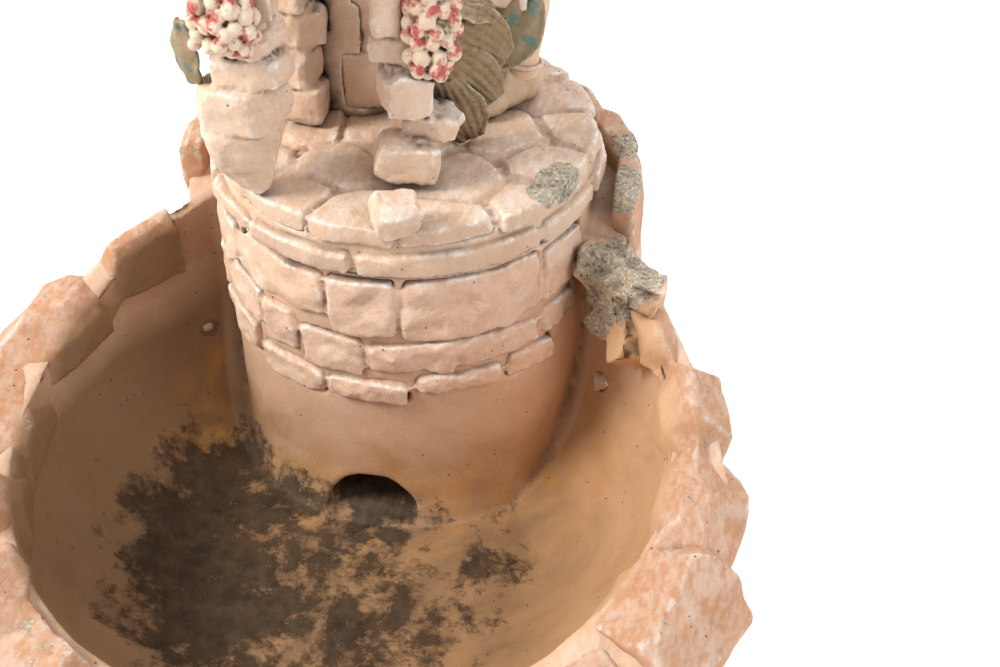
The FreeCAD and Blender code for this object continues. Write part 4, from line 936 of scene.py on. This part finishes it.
def hair():
    """Locks that start along the hairline, part in the middle and run back to a coiled bun."""
    rng = random.Random(301)
    centre = Vector((0, 0.004, head_height + 0.006))
    knot = Vector((0, 0.80, 0.36)).normalized()
    pieces = [ball("cap", centre + Vector((0, 0.010, 0.004)), (0.0445, 0.0445, 0.0450))]
    locks = 22
    for k in range(locks):
        side = -1 + 2 * k / (locks - 1)
        start = Vector((math.sin(side * 1.55), -math.cos(side * 1.55) * 0.95, 0.62 - 0.75 * side * side))
        start.normalize()
        points, radii = [], []
        for j in range(9):
            share = j / 8
            way = start.lerp(knot, share).normalized()
            wave = 0.0016 * math.sin(6 * share + k) + rng.uniform(-0.0006, 0.0006)
            out = Vector((way.x * 0.0455, way.y * 0.0500, way.z * 0.0475)) * (1.0 + wave * 12)
            points.append(centre + out + Vector((wave, 0, 0)))
            radii.append(0.0048 - 0.0014 * abs(share - 0.4))
        pieces.append(strand("lock", points, radii))
    bun = centre + Vector((0, 0.0530, 0.0170))
    pieces.append(ball("bun", bun, (0.0185, 0.0165, 0.0185)))
    for k in range(3):
        ring = 0.0165 - 0.0045 * k
        coil = [bun + Vector((ring * math.cos(a), 0.006 + 0.005 * k, ring * math.sin(a))) for a in
                [j * math.pi / 8 for j in range(17)]]
        pieces.append(strand("coil", coil, [0.0040] * 17))
    return grown("hair_cast", 0.0014, 110000, *pieces, smooth=1)


finish(stand(hair()), cloth_concrete, "top_casting", "figure_cast_stone", "hair")

# ---- Rods and spout pipe --------------------------------------------------------------------
# Two ribbed steel rods run up through the legs into the dress. The brass spout pipe comes up
# from the hose, bends in the rock and ends over the recess, dull with lime.
def metal(name, colour, tarnish, roughness, scale, amount):
    """Bare metal with a film of tarnish in clouds of a few millimetres."""
    material = bpy.data.materials.new(name)
    material.use_nodes = True
    tree = material.node_tree
    shader = tree.nodes["Principled BSDF"]
    place = add(tree, "TexCoord").outputs["Object"]
    film = add(tree, "TexNoise", {"Vector": place, "Scale": scale, "Detail": 5.0, "Roughness": 0.65})
    share = add(tree, "MapRange", [film, 0.5 - amount * 0.3, 0.75 - amount * 0.3])
    tree.links.new(
        add(tree, "Mix", {0: share, 6: linear(colour), 7: linear(tarnish)}, data_type="RGBA").outputs[2],
        shader.inputs["Base Color"])
    tree.links.new(
        add(tree, "MapRange", [film, 0.3, 0.7, roughness, roughness + 0.3]).outputs[0],
        shader.inputs["Roughness"])
    bump = add(tree, "Bump", {"Height": film, "Strength": 0.25, "Distance": 0.0004})
    tree.links.new(bump.outputs[0], shader.inputs["Normal"])
    shader.inputs["Metallic"].default_value = 1.0 - 0.5 * amount
    return material


def smooth_copy(name, node, bevel=0.0):
    """A CAD piece with its doubles merged, its edges eased and its round faces smooth."""
    piece = copy_of(name, node)
    if bevel:
        apply(piece, "BEVEL", width=bevel, segments=2, limit_method="ANGLE", angle_limit=math.radians(35))
    only(piece)
    bpy.ops.object.shade_smooth_by_angle(angle=math.radians(35))
    return piece


rusted_rod = metal("rusted_rod_steel", "#6A5648", "#7A4630", 0.55, 160.0, 1.0)
rods = smooth_copy("figure_rods_ribbed", "figure_rods")
finish(rods, rusted_rod, "top_casting", "rod_steel", "figure_rods")
dull_brass = metal("limed_brass", "#B08D4F", "#8E8A6A", 0.32, 120.0, 0.5)
finish(smooth_copy("spout_pipe_drawn", "spout_pipe"), dull_brass, "top_casting", "pipe_brass", "spout_pipe")

# ---- Pump in the drum -----------------------------------------------------------------------
# A small submersible pump on four suction feet: moulded body, front cover and clip-on strainer
# with a flow dial, a magnet rotor on a steel shaft, and a hose held by two clips.
def moulded(name, colour, second, roughness, grain=900.0, dust=0.35):
    """Moulded plastic or rubber: fine eroded grain about 1 mm wide, with dust from dried water."""
    material = bpy.data.materials.new(name)
    material.use_nodes = True
    tree = material.node_tree
    shader = tree.nodes["Principled BSDF"]
    place = add(tree, "TexCoord").outputs["Object"]
    fine = add(tree, "TexNoise", {"Vector": place, "Scale": grain, "Detail": 3.0, "Roughness": 0.6})
    film = add(tree, "TexNoise", {"Vector": place, "Scale": 45.0, "Detail": 5.0, "Roughness": 0.6})
    base = add(
        tree, "Mix", {0: add(tree, "MapRange", [film, 0.35, 0.65]), 6: linear(colour), 7: linear(second)},
        data_type="RGBA")
    dusty = add(tree, "Math", [add(tree, "MapRange", [film, 0.48, 0.7]), dust], operation="MULTIPLY")
    tree.links.new(
        add(tree, "Mix", {0: dusty, 6: base, 7: linear("#8B7A66")}, data_type="RGBA").outputs[2],
        shader.inputs["Base Color"])
    tree.links.new(
        add(tree, "MapRange", [film, 0.3, 0.7, roughness, roughness + 0.25]).outputs[0],
        shader.inputs["Roughness"])
    bump = add(tree, "Bump", {"Height": fine, "Strength": 0.3, "Distance": 0.0003})
    tree.links.new(bump.outputs[0], shader.inputs["Normal"])
    shader.inputs["IOR"].default_value = 1.52
    return material


black_abs = moulded("moulded_black_abs", "#1B1B1D", "#232326", 0.38)
cage_abs = moulded("moulded_grey_abs_cage", "#2A2D30", "#33373B", 0.42)
dial_abs = moulded("moulded_pale_abs_dial", "#7F8384", "#8B8F90", 0.40)
magnet_ferrite = moulded("moulded_ferrite_magnet", "#241F1D", "#2E2825", 0.50, dust=0.15)
hose_epdm = moulded("extruded_epdm_hose", "#151515", "#1D1C1B", 0.55)
foot_pvc = moulded("moulded_soft_pvc_feet", "#191918", "#222120", 0.50)
ground_steel = metal("ground_stainless_steel", "#B9B9B6", "#9C9A95", 0.22, 300.0, 0.2)
clip_steel = metal("pressed_stainless_clip", "#AEAEAB", "#8F8C86", 0.30, 200.0, 0.3)
for node, body, material, slot, bevel in (
        ("pump_body", "lower_casting", black_abs, "pump_plastic", 0.0012),
        ("pump_cover", "lower_casting", black_abs, "pump_plastic", 0.0005),
        ("outlet_barb", "lower_casting", black_abs, "pump_plastic", 0.0003),
        ("rotor_bearing", "lower_casting", black_abs, "pump_plastic", 0.0002),
        ("cable_gland", "lower_casting", black_abs, "pump_plastic", 0.0004),
        ("pump_feet", "lower_casting", foot_pvc, "foot_rubber", 0.0004),
        ("riser_hose", "lower_casting", hose_epdm, "hose_rubber", 0.0004),
        ("hose_clips", "lower_casting", clip_steel, "clip_steel", 0.0002),
        ("impeller", "rotor", magnet_ferrite, "rotor_magnet", 0.0002),
        ("rotor_shaft", "rotor", ground_steel, "shaft_steel", 0.0002),
        ("pump_strainer", "strainer", cage_abs, "strainer_plastic", 0.0003),
        ("flow_dial", "dial", dial_abs, "dial_plastic", 0.0004)):
    finish(smooth_copy(node + "_finished", node, bevel), material, body, slot, node)
